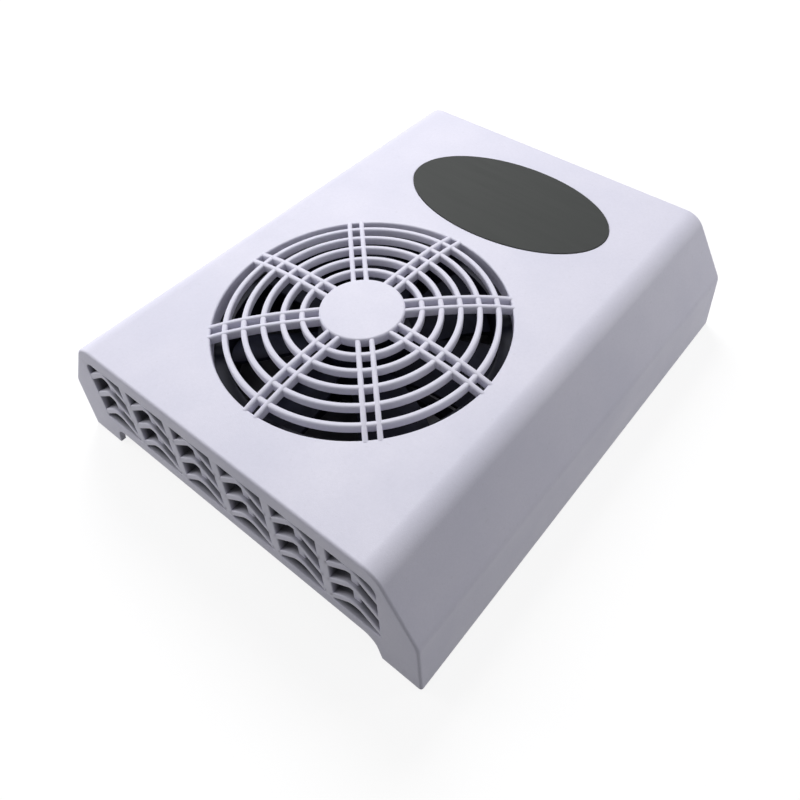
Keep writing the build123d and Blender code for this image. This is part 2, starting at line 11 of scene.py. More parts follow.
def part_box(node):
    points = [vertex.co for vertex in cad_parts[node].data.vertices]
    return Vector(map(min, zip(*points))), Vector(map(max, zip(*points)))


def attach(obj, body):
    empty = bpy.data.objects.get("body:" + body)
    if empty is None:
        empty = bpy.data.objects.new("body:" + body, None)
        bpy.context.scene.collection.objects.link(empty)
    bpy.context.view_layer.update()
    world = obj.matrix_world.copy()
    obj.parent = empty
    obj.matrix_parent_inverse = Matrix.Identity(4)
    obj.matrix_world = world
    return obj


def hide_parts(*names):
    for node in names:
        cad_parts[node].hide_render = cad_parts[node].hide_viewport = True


bl_info = {
    "name": "Nail dust collector",
    "version": (1, 0, 0),
    "blender": (4, 5, 0),
    "location": "View3D > Sidebar > Dust collector",
    "description": "Dresses the desktop nail dust collector: casing, grille, outlet and fan",
    "category": "Object",
}

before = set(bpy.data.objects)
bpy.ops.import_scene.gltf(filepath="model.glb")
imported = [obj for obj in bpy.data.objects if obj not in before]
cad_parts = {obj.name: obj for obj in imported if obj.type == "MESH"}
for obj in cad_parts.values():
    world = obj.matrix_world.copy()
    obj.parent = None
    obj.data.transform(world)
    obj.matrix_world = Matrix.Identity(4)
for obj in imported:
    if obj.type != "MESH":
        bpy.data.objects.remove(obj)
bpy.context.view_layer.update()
MM = 0.001

# Places in millimetres, taken from the solids. The badge and its seat stand a little beside the
# solid's, by BADGE_SHIFT, where they were measured later.
SHELL_LOW, SHELL_HIGH = np.array(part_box("top_shell")) / MM
FAN_LOW, FAN_HIGH = np.array(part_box("fan_frame")) / MM
FAN_Y = (FAN_LOW[1] + FAN_HIGH[1]) / 2
BADGE_LOW, BADGE_HIGH = np.array(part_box("oval_badge")) / MM
BADGE_SHIFT = (0.8, -0.8)
BADGE_CENTRE = (BADGE_LOW[:2] + BADGE_HIGH[:2]) / 2 + BADGE_SHIFT
BADGE_TURN = math.radians(2.5)
BASE_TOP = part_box("base_plate")[1][2] / MM
FEET = [np.array(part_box(f"rubber_foot_{i}")) / MM for i in range(1, 5)]
FLAT_TOP = 64.0
CELLS, RIBS, RINGS, SPOKES = 6, 3, 5, 8

# How finely the skin is divided: across the flat top, along it beside the intake and the badge,
# and how far past the badge's seat that goes
TOP_COLUMNS, INTAKE_ROWS, BADGE_ROWS = 36, 36, 18
SEAT_MARGIN = 3.0
# Points round a ring or the badge, along a bar, and round a boss, the inlet and the disc
RING_STEPS, BAR_STEPS, BOSS_STEPS, INLET_STEPS, DISC_STEPS = 144, 22, 40, 32, 96


# Sizes and colours that a user may change


def length(label, note, value):
    """A size that is given here in millimetres, as a property in metres."""
    return number(label, note, value * MM, min=0.0, precision=5, unit="LENGTH")


def number(label, note, value, **more):
    """A plain number or one with a unit of its own, as a property."""
    return bpy.props.FloatProperty(name=label, description=note, default=value, **more)


def sizes(name):
    """The values of a group by name, its lengths in millimetres."""
    group = getattr(bpy.context.scene, f"collector_{name}")
    units = {key: MM if group.bl_rna.properties[key].unit == "LENGTH" else 1
             for key in group.__annotations__}
    return SimpleNamespace(**{key: getattr(group, key) / units[key] for key in units})


def colour(label, note, value):
    """A linear colour, as a property."""
    return bpy.props.FloatVectorProperty(name=label, description=note, default=value,
                                         subtype="COLOR", size=3, min=0.0, max=1.0)


class CollectorCasing(bpy.types.PropertyGroup):
    ridge_width: length("Ridge width", "Across the ridge where the sides turn in", 197.4)
    top_width: length("Top width", "Flat top, to where its plane meets the sides", 162.6)
    ridge_height: length("Ridge height", "Skirt's lower edge to the ridge", 31.4)
    top: length("Flat top", "Table to the flat top", FLAT_TOP)
    draft: length("Draft", "Lean of each end wall over the casing's height", 0.7)
    wall: length("Wall", "Thickness of the moulding", 2.5)
    top_radius: length("Top edge radius", "Rounding between top and sides", 11.0)
    ridge_radius: length("Ridge radius", "Rounding along the ridge", 9.0)
    end_radius: length("End edge radius", "Rounding round the end walls", 1.2)
    edge: length("Small edges", "Rounding of openings and lower edges", 0.5)
    recess_height: length("Recess height", "Skirt's lower edge to the raised edge", 11.5)
    recess_width: length("Recess width", "Between the front feet", 160.0)
    recess_slant: length("Recess slant", "Lean of each foot's inner edge", 3.0)
    recess_radius: length("Recess radius", "Upper corners of the recess", 7.0)
    recess_lip: length("Recess lip", "Recess up to where the wall thickens", 0.2)
    intake_edge: length("Intake edge", "Rounding of the intake's upper edge", 0.8)


class CollectorLattice(bpy.types.PropertyGroup):
    pitch: length("Cell pitch", "From cell to cell", 27.75)
    width: length("Cell width", "Width of a cell's opening", 22.8)
    drop: length("Cell drop", "Flat top down to the cells", 8.5)
    height: length("Cell height", "Height of the cells", 36.5)
    corner: length("Corner radius", "Outer upper corners of the end cells", 5.0)
    depth: length("Depth", "Depth of ribs and mullions", 6.5)
    border: length("Border", "Thick wall past the cells", 2.7)
    rib_pitch: length("Rib pitch", "From rib to rib", 11.7)
    rib_rise: length("Rib rise", "Ends of a rib to its apex", 8.9)
    rib: length("Rib thickness", "Across a rib", 2.9)
    rib_bend: length("Rib bend", "Radius of a rib's apex along its middle", 5.0)
    low_bend: length("Low rib bend", "The same for each cell's lowest rib", 7.5)
    web: length("Web width", "Upright web behind the ribs' apexes", 3.6)
    web_sink: length("Web sink", "Front wall back to the web's face", 1.6)
    rib_merge: length("Rib merge", "First apex's reach into the rail", 0.9)
    rib_sink: length("Rib sink", "Front wall back to the faces of ribs and mullions", 0.12)
    rib_root: length("Rib root", "Length of a rib's ends inside the mullions", 1.2)
    root: length("Mullion root", "Length of mullions and webs inside the rails", 0.6)


class CollectorGrille(bpy.types.PropertyGroup):
    radius: length("Intake radius", "Radius of the round opening", 63.5)
    collar: length("Collar wall", "Thickness of the collar", 2.2)
    collar_drop: length("Collar drop", "Flat top down to the collar's lower edge", 8.0)
    dome: length("Dome height", "Rise of the bars over the opening", 5.0)
    rim: length("Dome radius", "Where the domed surface meets the flat top", 65.0)
    power: number("Dome power", "Higher is flatter in the middle, steeper at the rim", 3.8,
                  min=1.0)
    thickness: length("Thickness", "Crest of a bar to its underside", 4.2)
    disc: length("Disc radius", "Plain disc in the middle", 18.1)
    disc_rise: length("Disc rise", "Disc's face above the bar crests", 0.3)
    first_ring: length("First ring", "Radius of the innermost ring", 25.1)
    last_ring: length("Last ring", "Radius of the outermost ring", 57.4)
    ring: length("Ring width", "Across a ring", 2.4)
    ring_sink: length("Ring sink", "Ring crest under the bar crests", 0.2)
    bar: length("Bar width", "Across a bar", 2.2)
    spacing: length("Bar spacing", "Between the two bars of a spoke", 5.6)
    crest: length("Crest radius", "Rounding along the crests", 0.85)
    turn: number("Turn", "Spokes from the casing's axes, counter-clockwise", math.radians(0.5),
                 subtype="ANGLE", unit="ROTATION")


class CollectorSmallParts(bpy.types.PropertyGroup):
    badge_length: length("Badge length", "Long axis of the oval plate", 106.6)
    badge_width: length("Badge width", "Short axis of the oval plate", 60.6)
    badge_seat: length("Badge seat", "Depth of its seat in the flat top", 0.5)
    badge_gap: length("Badge gap", "Room round it in the seat", 0.25)
    seat_edge: length("Seat edge", "Rounding of the seat's upper edge", 0.15)
    badge_rim: length("Badge rim", "Rounding of its upper edge", 0.22)
    switch_width: length("Switch opening width", "Across the rocker's opening", 13.2)
    switch_height: length("Switch opening height", "Upright, as seen from behind", 19.2)
    inlet_radius: length("Inlet opening radius", "Round opening of the power inlet", 4.1)
    foot_corner: length("Foot corner", "Rounding of a foot's upright corners", 1.8)
    foot_edge: length("Foot edge", "Rounding of a foot's lower edge", 0.8)
    fan_screw: length("Fan screw radius", "Thread of the fan's screws", 1.95)
    fan_hole_inset: length("Fan hole inset", "Fan's side to its screw holes' middles", 7.5)
    base_screw: length("Base screw radius", "Thread of the base's screws", 1.45)
    screw_grip: length("Screw grip", "Length of a fan screw's thread in its boss", 5.0)
    base_grip: length("Base screw grip", "Length of a base screw's thread in its boss", 9.0)
    hole_room: length("Pilot hole room", "Screw's tip to its hole's closed end", 0.6)
    floor: length("Base floor", "Thickness of the base plate's floor", 2.5)
    thread: length("Thread pitch", "From thread to thread", 1.0)
    boss: length("Fan boss radius", "Round posts over the fan's corners", 4.3)
    base_boss: length("Base boss width", "Square posts over the feet", 8.0)


class CollectorFinish(bpy.types.PropertyGroup):
    shell: colour("Shell", "Lavender white of the moulded casing", (0.70, 0.69, 0.80))
    shell_shade: colour("Shell shade", "The casing's slightly cooler patches", (0.66, 0.655, 0.77))
    badge: colour("Badge", "Dark grey of the oval plate", (0.027, 0.0295, 0.0285))
    fan: colour("Fan", "Black glass-filled plastic", (0.005, 0.0055, 0.012))
    rubber: colour("Rubber", "Black of the feet", (0.03, 0.03, 0.03))
    switch: colour("Switch", "Black of the rocker and the sockets", (0.018, 0.018, 0.019))
    brass: colour("Brass", "Plain contact metal", (0.60, 0.43, 0.17))
    steel: colour("Steel", "Shaft and screws", (0.45, 0.45, 0.46))


class CollectorStage(bpy.types.PropertyGroup):
    lamp_power: number("Lamp power", "Power of the overhead lamp in watts", 7.3)
    lamp_size: number("Lamp size", "Width of the overhead lamp", 0.5, unit="LENGTH")
    fill_power: number("Fill power", "Power of each low side lamp in watts", 0.92)
    fill_size: number("Fill size", "Width of each low side lamp", 0.3, unit="LENGTH")
    sky: number("Sky", "Even light from all round", 0.30)
    floor: colour("Floor", "Pale floor under the collector", (0.62, 0.62, 0.63))
    floor_bounce: colour("Floor bounce", "What the floor throws back on the collector",
                         (0.14, 0.14, 0.15))
    floor_white: number("Floor white", "Strength of the white that the camera sees", 1.2)
    floor_lift: number("Floor lift", "Share of plain white that the camera sees in the floor",
                       0.72, min=0.0, max=1.0)


# Materials

# Depths in metres behind the outlet's front where the painted shade begins and where it is
# full, and the width of its border elsewhere
PAINTED_SHADE_START, PAINTED_SHADE_DEPTH, PAINTED_SHADE_BORDER = 0.0001, 0.0025, 0.0002
# How far the painted shade reaches over the cells, and under the base floor's upper face, in
# millimetres
PAINTED_SHADE_RISE, PAINTED_SHADE_DROP = 0.2, 0.6
# Colour of the painted shade inside the outlet
PAINTED_SHADE = (0.075, 0.073, 0.088)
# Colour of the painted shade on the base plate's inner side
BASE_PAINTED_SHADE = (0.045, 0.043, 0.05)
SPECK = (0.42, 0.41, 0.44)
CHALK = (0.10, 0.10, 0.10)
BRASS_SHADE = (0.30, 0.19, 0.07)
STEEL_SHADE = (0.20, 0.20, 0.21)


def scaled(tone, factor, more=0.0):
    """The colour, darker or lighter."""
    return tuple(c * factor + more for c in tone)


class Amount:
    """A socket that carries a number; arithmetic on it adds Math nodes."""

    def __init__(self, tree, socket):
        self.tree = tree
        self.socket = socket

    def _math(self, operation, *values):
        node = self.tree.nodes.new("ShaderNodeMath")
        node.operation = operation
        for slot, value in zip(node.inputs, values):
            if isinstance(value, Amount):
                self.tree.links.new(value.socket, slot)
            else:
                slot.default_value = value
        return Amount(self.tree, node.outputs[0])

    def __add__(self, other):
        return self._math("ADD", self, other)

    __radd__ = __add__

    def __mul__(self, other):
        return self._math("MULTIPLY", self, other)

    __rmul__ = __mul__

    def __sub__(self, other):
        return self._math("SUBTRACT", self, other)

    def __rsub__(self, other):
        return self._math("SUBTRACT", other, self)

    def either(self, other):
        """The larger of two amounts."""
        return self._math("MAXIMUM", self, other)

    def above(self, edge, width):
        """0 below edge, 1 above edge + width, straight between them."""
        node = self.tree.nodes.new("ShaderNodeMapRange")
        node.inputs["From Min"].default_value = edge
        node.inputs["From Max"].default_value = edge + width
        self.tree.links.new(self.socket, node.inputs["Value"])
        return Amount(self.tree, node.outputs["Result"])


class Finish:
    """A material under construction, with its shader and the object's coordinates."""

    def __init__(self, name):
        self.material = bpy.data.materials.new(name)
        self.material.use_nodes = True
        self.tree = self.material.node_tree
        self.shader = self.tree.nodes["Principled BSDF"]
        self.place = self.node("ShaderNodeTexCoord").outputs["Object"]

    def node(self, kind, settings=None, **sockets):
        """Any node: its settings first, then the values or links of its sockets."""
        made = self.tree.nodes.new(kind)
        for key, value in (settings or {}).items():
            setattr(made, key, value)
        for key, value in sockets.items():
            self.feed(made.inputs[key.replace("_", " ")], value)
        return made

    def feed(self, slot, value):
        """A link or a plain value for a socket."""
        if isinstance(value, Amount):
            self.tree.links.new(value.socket, slot)
        elif isinstance(value, bpy.types.NodeSocket):
            self.tree.links.new(value, slot)
        else:
            slot.default_value = value

    def noise(self, per_metre, detail=2.0, rough=0.5, stretch=(1, 1, 1)):
        """Noise with about per_metre patches to the metre, longer where stretch is smaller."""
        place = self.place
        if tuple(stretch) != (1, 1, 1):
            place = self.node("ShaderNodeMapping", Vector=place, Scale=stretch).outputs[0]
        made = self.node("ShaderNodeTexNoise", Vector=place, Scale=per_metre, Detail=detail,
                         Roughness=rough)
        return Amount(self.tree, made.outputs[0])

    def mix(self, amount, first, second):
        """first where amount is 0 and second where it is 1."""
        made = self.node("ShaderNodeMix", {"data_type": "RGBA"})
        self.feed(made.inputs[0], amount)
        self.feed(made.inputs[6], first if not isinstance(first, tuple) else (*first, 1))
        self.feed(made.inputs[7], second if not isinstance(second, tuple) else (*second, 1))
        return made.outputs[2]

    def bump(self, height, depth, strength):
        """Relief of depth metres where height goes from 0 to 1."""
        made = self.node("ShaderNodeBump", Height=height, Distance=depth, Strength=strength)
        self.set(Normal=made.outputs[0])

    def set(self, **sockets):
        """Values or links for the shader's own sockets."""
        for key, value in sockets.items():
            if isinstance(value, tuple) and len(value) == 3:
                value = (*value, 1)
            self.feed(self.shader.inputs[key.replace("_", " ")], value)

    def moulded_grain(self, fine):
        """The fine spark-eroded relief of a mould, with some of the given noise in it."""
        self.bump(self.noise(2300, 2, 0.55) + 0.5 * fine, 0.00006, 0.55)


def seen_rays(tree):
    """1 for the rays that should meet the white backdrop: the camera's and those that gloss
    or glass sends on."""
    path = tree.nodes.new("ShaderNodeLightPath")
    camera, gloss, glass = (Amount(tree, path.outputs[name]) for name in
                            ("Is Camera Ray", "Is Glossy Ray", "Is Transmission Ray"))
    return camera.either(gloss).either(glass)


def painted_shade_behind(made, low, high):
    """How much painted shade greys the plastic in the box from low to high: 0 at the box's
    front, the front wall's face, rising to 1 at the full-shade depth behind it; 0 outside the box."""
    apart = made.node("ShaderNodeSeparateXYZ", Vector=made.place)
    place = [Amount(made.tree, apart.outputs[axis]) for axis in "XYZ"]
    painted_shade = (place[1] - float(low[1])).above(PAINTED_SHADE_START, PAINTED_SHADE_DEPTH - PAINTED_SHADE_START)
    for along, least, most in zip(place, low, high):
        painted_shade = (painted_shade * (along - float(least)).above(0.0, PAINTED_SHADE_BORDER)
                * (float(most) - along).above(0.0, PAINTED_SHADE_BORDER))
    return painted_shade


def shell_plastic(name, tone, shade, low, high):
    """Satin moulded plastic: a fine spark-eroded grain, faint cloudy tint, sparse dust specks;
    painted shade greys it in the box from low to high, behind the outlet."""
    made = Finish(name)
    cloud = made.noise(22, 3, 0.6).above(0.35, 0.3)
    fine = made.noise(900, 2, 0.6)
    speck = made.noise(520, 1, 0.4).above(0.735, 0.02)
    body = made.mix(cloud, tone, shade)
    grainy = made.mix(fine.above(0.3, 0.4) * 0.16, body, scaled(shade, 0.82))
    clean = made.mix(speck * 0.10, grainy, SPECK)
    # Painted shade: darker inside the outlet, deeper behind the front wall
    made.set(Base_Color=made.mix(painted_shade_behind(made, low, high) * (0.80 + 0.2 * cloud), clean,
                                 PAINTED_SHADE))
    made.set(Roughness=0.40 + 0.10 * fine + 0.06 * cloud, Specular_IOR_Level=0.25, IOR=1.5)
    made.moulded_grain(fine)
    return made.material


def outlet_plastic(name, tone, shade, low, high):
    """The casing's plastic on the outlet's ribs: painted shade greys them more the further they
    stand behind the front wall."""
    made = Finish(name)
    fine = made.noise(900, 2, 0.6)
    cloud = made.noise(60, 3, 0.6)
    # Painted shade, deeper behind the front wall
    behind = painted_shade_behind(made, low, high)
    body = made.mix(cloud.above(0.35, 0.3), tone, shade)
    made.set(Base_Color=made.mix(behind * (0.80 + 0.2 * cloud), body, PAINTED_SHADE))
    made.set(Roughness=0.42 + 0.10 * fine + 0.1 * behind, Specular_IOR_Level=0.35)
    made.moulded_grain(fine)
    return made.material


def plastic_with_painted_shade(name, tone, level, front):
    """The base plate's plastic; painted shade darkens what lies above level, its inner side, and
    less of it what lies ahead of front, nearer the outlet."""
    made = Finish(name)
    fine = made.noise(900, 2, 0.6)
    cloud = made.noise(45, 4, 0.65)
    apart = made.node("ShaderNodeSeparateXYZ", Vector=made.place)
    inner = (Amount(made.tree, apart.outputs["Z"]) - level).above(0.0, 0.0005)
    outlet = (front - Amount(made.tree, apart.outputs["Y"])).above(0.0, 0.006)
    body = made.mix(cloud.above(0.4, 0.3) * 0.5, tone, scaled(tone, 0.86))
    # Painted shade on the inner side, less of it ahead of front
    made.set(Base_Color=made.mix(inner * (0.75 + 0.25 * cloud) * (1 - 0.5 * outlet), body,
                                 BASE_PAINTED_SHADE))
    made.set(Roughness=0.5 + 0.15 * fine, Specular_IOR_Level=0.3)
    made.moulded_grain(fine)
    return made.material


def badge_film(name, tone):
    """Satin printed plate: a fine cross-hatch of the film and slight clouding."""
    made = Finish(name)
    fine = made.noise(1600, 2, 0.5)
    along = made.noise(420, 2, 0.5, (0.06, 1, 1))
    made.set(Base_Color=made.mix(0.35 * fine + 0.35 * along, scaled(tone, 0.86),
                                 scaled(tone, 1.22)))
    made.set(Roughness=0.58 + 0.14 * along, Specular_IOR_Level=0.25)
    made.bump(fine + along, 0.00002, 0.4)
    return made.material


def dark_plastic(name, tone, gloss, shine, grain=1500):
    """Black plastic with flow lines and a fine grain."""
    made = Finish(name)
    flow = made.noise(160, 3, 0.6, (0.25, 1, 1))
    fine = made.noise(grain, 2, 0.55)
    made.set(Base_Color=made.mix(flow.above(0.4, 0.3), tone, scaled(tone, 1.8, 0.001)))
    made.set(Roughness=gloss + 0.16 * fine, Specular_IOR_Level=shine)
    made.bump(fine + 0.5 * flow, 0.00004, 0.5)
    return made.material


def pad_rubber(name, tone):
    """Matt rubber with a pebbled skin and chalky wear."""
    made = Finish(name)
    pebble = made.noise(1100, 3, 0.6)
    chalk = made.noise(140, 4, 0.65).above(0.5, 0.25)
    made.set(Base_Color=made.mix(chalk * 0.5, tone, CHALK))
    made.set(Roughness=0.72 + 0.2 * pebble, Specular_IOR_Level=0.3)
    made.bump(pebble, 0.0001, 0.7)
    return made.material


def plain_metal(name, tone, shade, gloss):
    """Turned or stamped metal with fine marks and darker tarnish."""
    made = Finish(name)
    marks = made.noise(900, 2, 0.5, (0.05, 1, 1))
    tarnish = made.noise(260, 4, 0.6).above(0.42, 0.3)
    made.set(Base_Color=made.mix(tarnish * 0.7, tone, shade))
    made.set(Metallic=1.0, Roughness=gloss + 0.2 * marks)
    made.bump(marks, 0.00002, 0.5)
    return made.material


def finish(name, kind, *values):
    """The named material, made once."""
    return bpy.data.materials.get(name) or kind(name, *values)


def tone(name):
    """One of the colours that a user may change."""
    return tuple(getattr(bpy.context.scene.collector_finish, name))


def outlet_room():
    """Corners in metres of the room behind the outlet: the cells and their thick border, from
    the front wall's face to the rear wall."""
    size = sizes("casing")
    lattice = sizes("lattice")
    (left, low), (right, high) = cells_box(size, lattice)
    return (np.array([left - lattice.border, SHELL_LOW[1] + size.draft / 2,
                      low - lattice.border]) * MM,
            np.array([right + lattice.border, SHELL_HIGH[1] - 2 * size.wall,
                      high + PAINTED_SHADE_RISE]) * MM)


def shell_finish():
    return finish("shell_plastic", shell_plastic, tone("shell"), tone("shell_shade"),
                  *outlet_room())


def outlet_finish():
    return finish("outlet_plastic", outlet_plastic, tone("shell"), tone("shell_shade"),
                  *outlet_room())


def web_finish(sink):
    """The outlet's plastic for the webs, whose faces stand sink metres behind the wall's, where
    their painted shade begins.
    """
    low, high = outlet_room()
    return finish("web_plastic", outlet_plastic, tone("shell"), tone("shell_shade"),
                  low + (0, sink, 0), high)


def fan_finish():
    return finish("fan_plastic", dark_plastic, tone("fan"), 0.45, 0.12)


def switch_finish():
    return finish("switch_plastic", dark_plastic, tone("switch"), 0.34, 0.4, 2200)


def rubber_finish():
    return finish("pad_rubber", pad_rubber, tone("rubber"))


def brass_finish():
    return finish("contact_brass", plain_metal, tone("brass"), BRASS_SHADE, 0.28)


def steel_finish():
    return finish("screw_steel", plain_metal, tone("steel"), STEEL_SHADE, 0.25)


# Carried pieces

# Roundings in millimetres; up to FLAT_ANGLE facets count as one face, and from BEVEL_ANGLE on an
# edge counts as sharp
BASE_EDGE, CONTROL_EDGE = 0.3, 0.25
FLAT_ANGLE, BEVEL_ANGLE = math.radians(0.5), math.radians(40)
# Distances in metres at which a mesh's points count as one and its edges as nothing
MERGE, SLIVER = 2e-6, 1e-6
SHARP_ANGLE = math.radians(35)


def paint(name, material):
    """A carried piece gets its finish. The piece is given back."""
    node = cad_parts[name]
    node.data.materials.clear()
    node.data.materials.append(material)
    return node


def soften(node, width):
    """The piece's sharp edges are rounded by width millimetres, once its facets are merged."""
    merge = node.modifiers.new("merge", "WELD")
    merge.merge_threshold = SLIVER
    flat = node.modifiers.new("flat", "DECIMATE")
    flat.decimate_type = "DISSOLVE"
    flat.angle_limit = FLAT_ANGLE
    edge = node.modifiers.new("edge", "BEVEL")
    edge.width = width * MM
    edge.segments = 2
    edge.limit_method = "ANGLE"
    edge.angle_limit = BEVEL_ANGLE
    edge.harden_normals = True
    node.data.polygons.foreach_set("use_smooth", np.ones(len(node.data.polygons), bool))


# Stage

# The floor's level and half its width, in millimetres
FLOOR_LEVEL, FLOOR_HALF = -0.05, 3000
# Each lamp's place and what it faces, in metres
LAMPS = {"overhead": ((-0.42, 0.36, 0.80), (0, 0.02, 0)),
         "front_fill": ((-0.44, -0.27, 0.18), (-0.06, -0.12, 0.02)),
         "rear_fill": ((0.50, 0.42, 0.16), (0.1, 0.02, 0.02))}
# The camera's azimuth, elevation and roll in degrees, its place from the intake's middle in
# millimetres, and its focal length and optical axis in pixels of a square picture
CAMERA_TURNS = (39.0823, 43.9953, 0.9857)
CAMERA_PLACE = (177.0, -166.5, 242.1)
FOCAL = 808.8763
AXIS = (439.54, 299.45)
PICTURE = 800
SENSOR = 36.0


class COLLECTOR_OT_stage(bpy.types.Operator):
    """Floor, lamps, even sky and the camera"""
    bl_idname = "collector.stage"
    bl_label = "Stage"

    def execute(self, context):
        stage = context.scene.collector_stage
        scene = context.scene
        scene.view_settings.view_transform = "Standard"

        world = bpy.data.worlds.new("even_sky")
        world.use_nodes = True
        tree = world.node_tree
        tree.nodes.clear()
        seen = seen_rays(tree)
        sky = tree.nodes.new("ShaderNodeBackground")
        sky.inputs["Color"].default_value = (1, 1, 1, 1)
        tree.links.new((stage.sky + (1 - stage.sky) * seen).socket, sky.inputs["Strength"])
        out = tree.nodes.new("ShaderNodeOutputWorld")
        tree.links.new(sky.outputs[0], out.inputs["Surface"])
        scene.world = world

        made = Finish("pale_floor")
        seen = seen_rays(made.tree)
        made.set(Base_Color=made.mix(seen, tuple(stage.floor_bounce), tuple(stage.floor)))
        made.set(Roughness=0.9, Specular_IOR_Level=0.1)
        white = made.node("ShaderNodeEmission", Color=(1, 1, 1, 1), Strength=stage.floor_white)
        lift = made.node("ShaderNodeMixShader", Fac=seen * stage.floor_lift)
        made.tree.links.new(made.shader.outputs[0], lift.inputs[1])
        made.tree.links.new(white.outputs[0], lift.inputs[2])
        made.tree.links.new(lift.outputs[0], made.tree.nodes["Material Output"].inputs[0])
        floor = mesh_piece("floor", grid(np.array(
            [[[x, y, FLOOR_LEVEL] for x in (-FLOOR_HALF, FLOOR_HALF)]
             for y in (-FLOOR_HALF, FLOOR_HALF)], float)), material=made.material)

        hang("overhead", stage.lamp_size, stage.lamp_power)
        hang("front_fill", stage.fill_size, stage.fill_power)
        hang("rear_fill", stage.fill_size, stage.fill_power)

        azimuth, elevation, roll = np.radians(CAMERA_TURNS)
        back = np.array([math.sin(azimuth) * math.cos(elevation),
                         -math.cos(azimuth) * math.cos(elevation), math.sin(elevation)])
        camera = bpy.data.objects.new("camera", bpy.data.cameras.new("camera"))
        scene.collection.objects.link(camera)
        place = np.array(CAMERA_PLACE) + (0, FAN_Y, FLAT_TOP)
        camera.matrix_world = facing(place * MM, back, roll)
        camera.data.sensor_width = SENSOR
        camera.data.lens = SENSOR * FOCAL / PICTURE
        camera.data.shift_x = (PICTURE / 2 - AXIS[0]) / PICTURE
        camera.data.shift_y = (AXIS[1] - PICTURE / 2) / PICTURE
        camera.data.clip_start = 0.01
        scene.camera = camera
        return {"FINISHED"}


def hang(name, size, power):
    """One of the lamps, round and soft."""
    spot, aim = LAMPS[name]
    lamp = bpy.data.lights.new(name, "AREA")
    lamp.shape = "DISK"
    lamp.size = size
    lamp.energy = power
    hung = bpy.data.objects.new(name, lamp)
    bpy.context.scene.collection.objects.link(hung)
    hung.matrix_world = facing(np.array(spot), np.subtract(spot, aim))


def facing(spot, back, roll=0.0):
    """The matrix of something at spot whose own -Z axis looks against back, turned by roll."""
    back = back / np.linalg.norm(back)
    right = np.cross(-back, (0, 0, 1))
    right /= np.linalg.norm(right)
    up = np.cross(back, right)
    right, up = (math.cos(roll) * right - math.sin(roll) * up,
                 math.sin(roll) * right + math.cos(roll) * up)
    made = np.eye(4)
    made[:3, :4] = np.stack([right, up, back, spot], axis=1)
    return Matrix(made.tolist())


# Surfaces


def grid(points, close_rows=False, close_columns=False, skip=None):
    """Points of a grid and its quads. A closed direction joins its last line to its first,
    and quads marked in skip are left out."""
    rows, columns = points.shape[:2]
    index = np.arange(rows * columns).reshape(rows, columns)
    if close_columns:
        index = np.concatenate([index, index[:, :1]], axis=1)
    if close_rows:
        index = np.concatenate([index, index[:1]], axis=0)
    quads = np.stack([index[:-1, :-1], index[:-1, 1:], index[1:, 1:], index[1:, :-1]], axis=-1)
    quads = quads.reshape(-1, 4) if skip is None else quads[~skip]
    return points.reshape(-1, 3), quads


def capped(rows):
    """The grid of a closed section's rows, with each end drawn together to its middle."""
    ends = rows[[0, -1]].mean(axis=1, keepdims=True).repeat(rows.shape[1], axis=1)
    return grid(np.concatenate([ends[:1], rows, ends[1:]]), close_columns=True)


def flat_face(outline, holes, lift):
    """The flat area inside an outline and outside its holes, as triangles; lift places its
    2-D points in space."""
    loops = [outline, *holes]
    faces = tessellate_polygon([[Vector((*point, 0)) for point in loop] for loop in loops])
    return lift(np.concatenate(loops)), np.array(faces)


def mesh_piece(name, *patches, material):
    """One mesh object from patches of points in millimetres and faces. Points that meet are
    merged, and all faces turn outwards."""
    counts = np.cumsum([0] + [len(points) for points, faces in patches])
    points = np.concatenate([points for points, faces in patches]) * MM
    faces = [face for (_, faces), first in zip(patches, counts)
             for face in (faces + first).tolist()]
    mesh = bpy.data.meshes.new(name)
    mesh.from_pydata(points.tolist(), [], faces)
    work = bmesh.new()
    work.from_mesh(mesh)
    bmesh.ops.remove_doubles(work, verts=work.verts, dist=MERGE)
    bmesh.ops.dissolve_degenerate(work, edges=work.edges, dist=SLIVER)
    bmesh.ops.recalc_face_normals(work, faces=work.faces)
    work.to_mesh(mesh)
    work.free()
    mesh.polygons.foreach_set("use_smooth", np.ones(len(mesh.polygons), bool))
    mesh.set_sharp_from_angle(angle=SHARP_ANGLE)
    made = bpy.data.objects.new(name, mesh)
    bpy.context.scene.collection.objects.link(made)
    even = made.modifiers.new("even", "WEIGHTED_NORMAL")
    even.keep_sharp = True
    mesh.materials.append(material)
    return made


def carry(piece, body, slot, *nodes):
    """The piece rides on a body and stands for the nodes, which are hidden; slot is not used."""
    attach(piece, body)
    if nodes:
        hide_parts(*nodes)


def moved(corners, inwards):
    """Corners of a closed counter-clockwise outline whose sides move in by the given
    distances: each corner is where its two moved sides meet."""
    corners = np.asarray(corners, float)
    along = np.roll(corners, -1, axis=0) - corners
    along /= np.linalg.norm(along, axis=1, keepdims=True)
    normal = np.stack([along[:, 1], -along[:, 0]], axis=1)
    reach = (normal * corners).sum(axis=1) - np.asarray(inwards, float)
    lines = np.stack([np.roll(normal, 1, axis=0), normal], axis=1)
    ends = np.stack([np.roll(reach, 1), reach], axis=1)
    return np.linalg.solve(lines, ends[..., None])[..., 0]


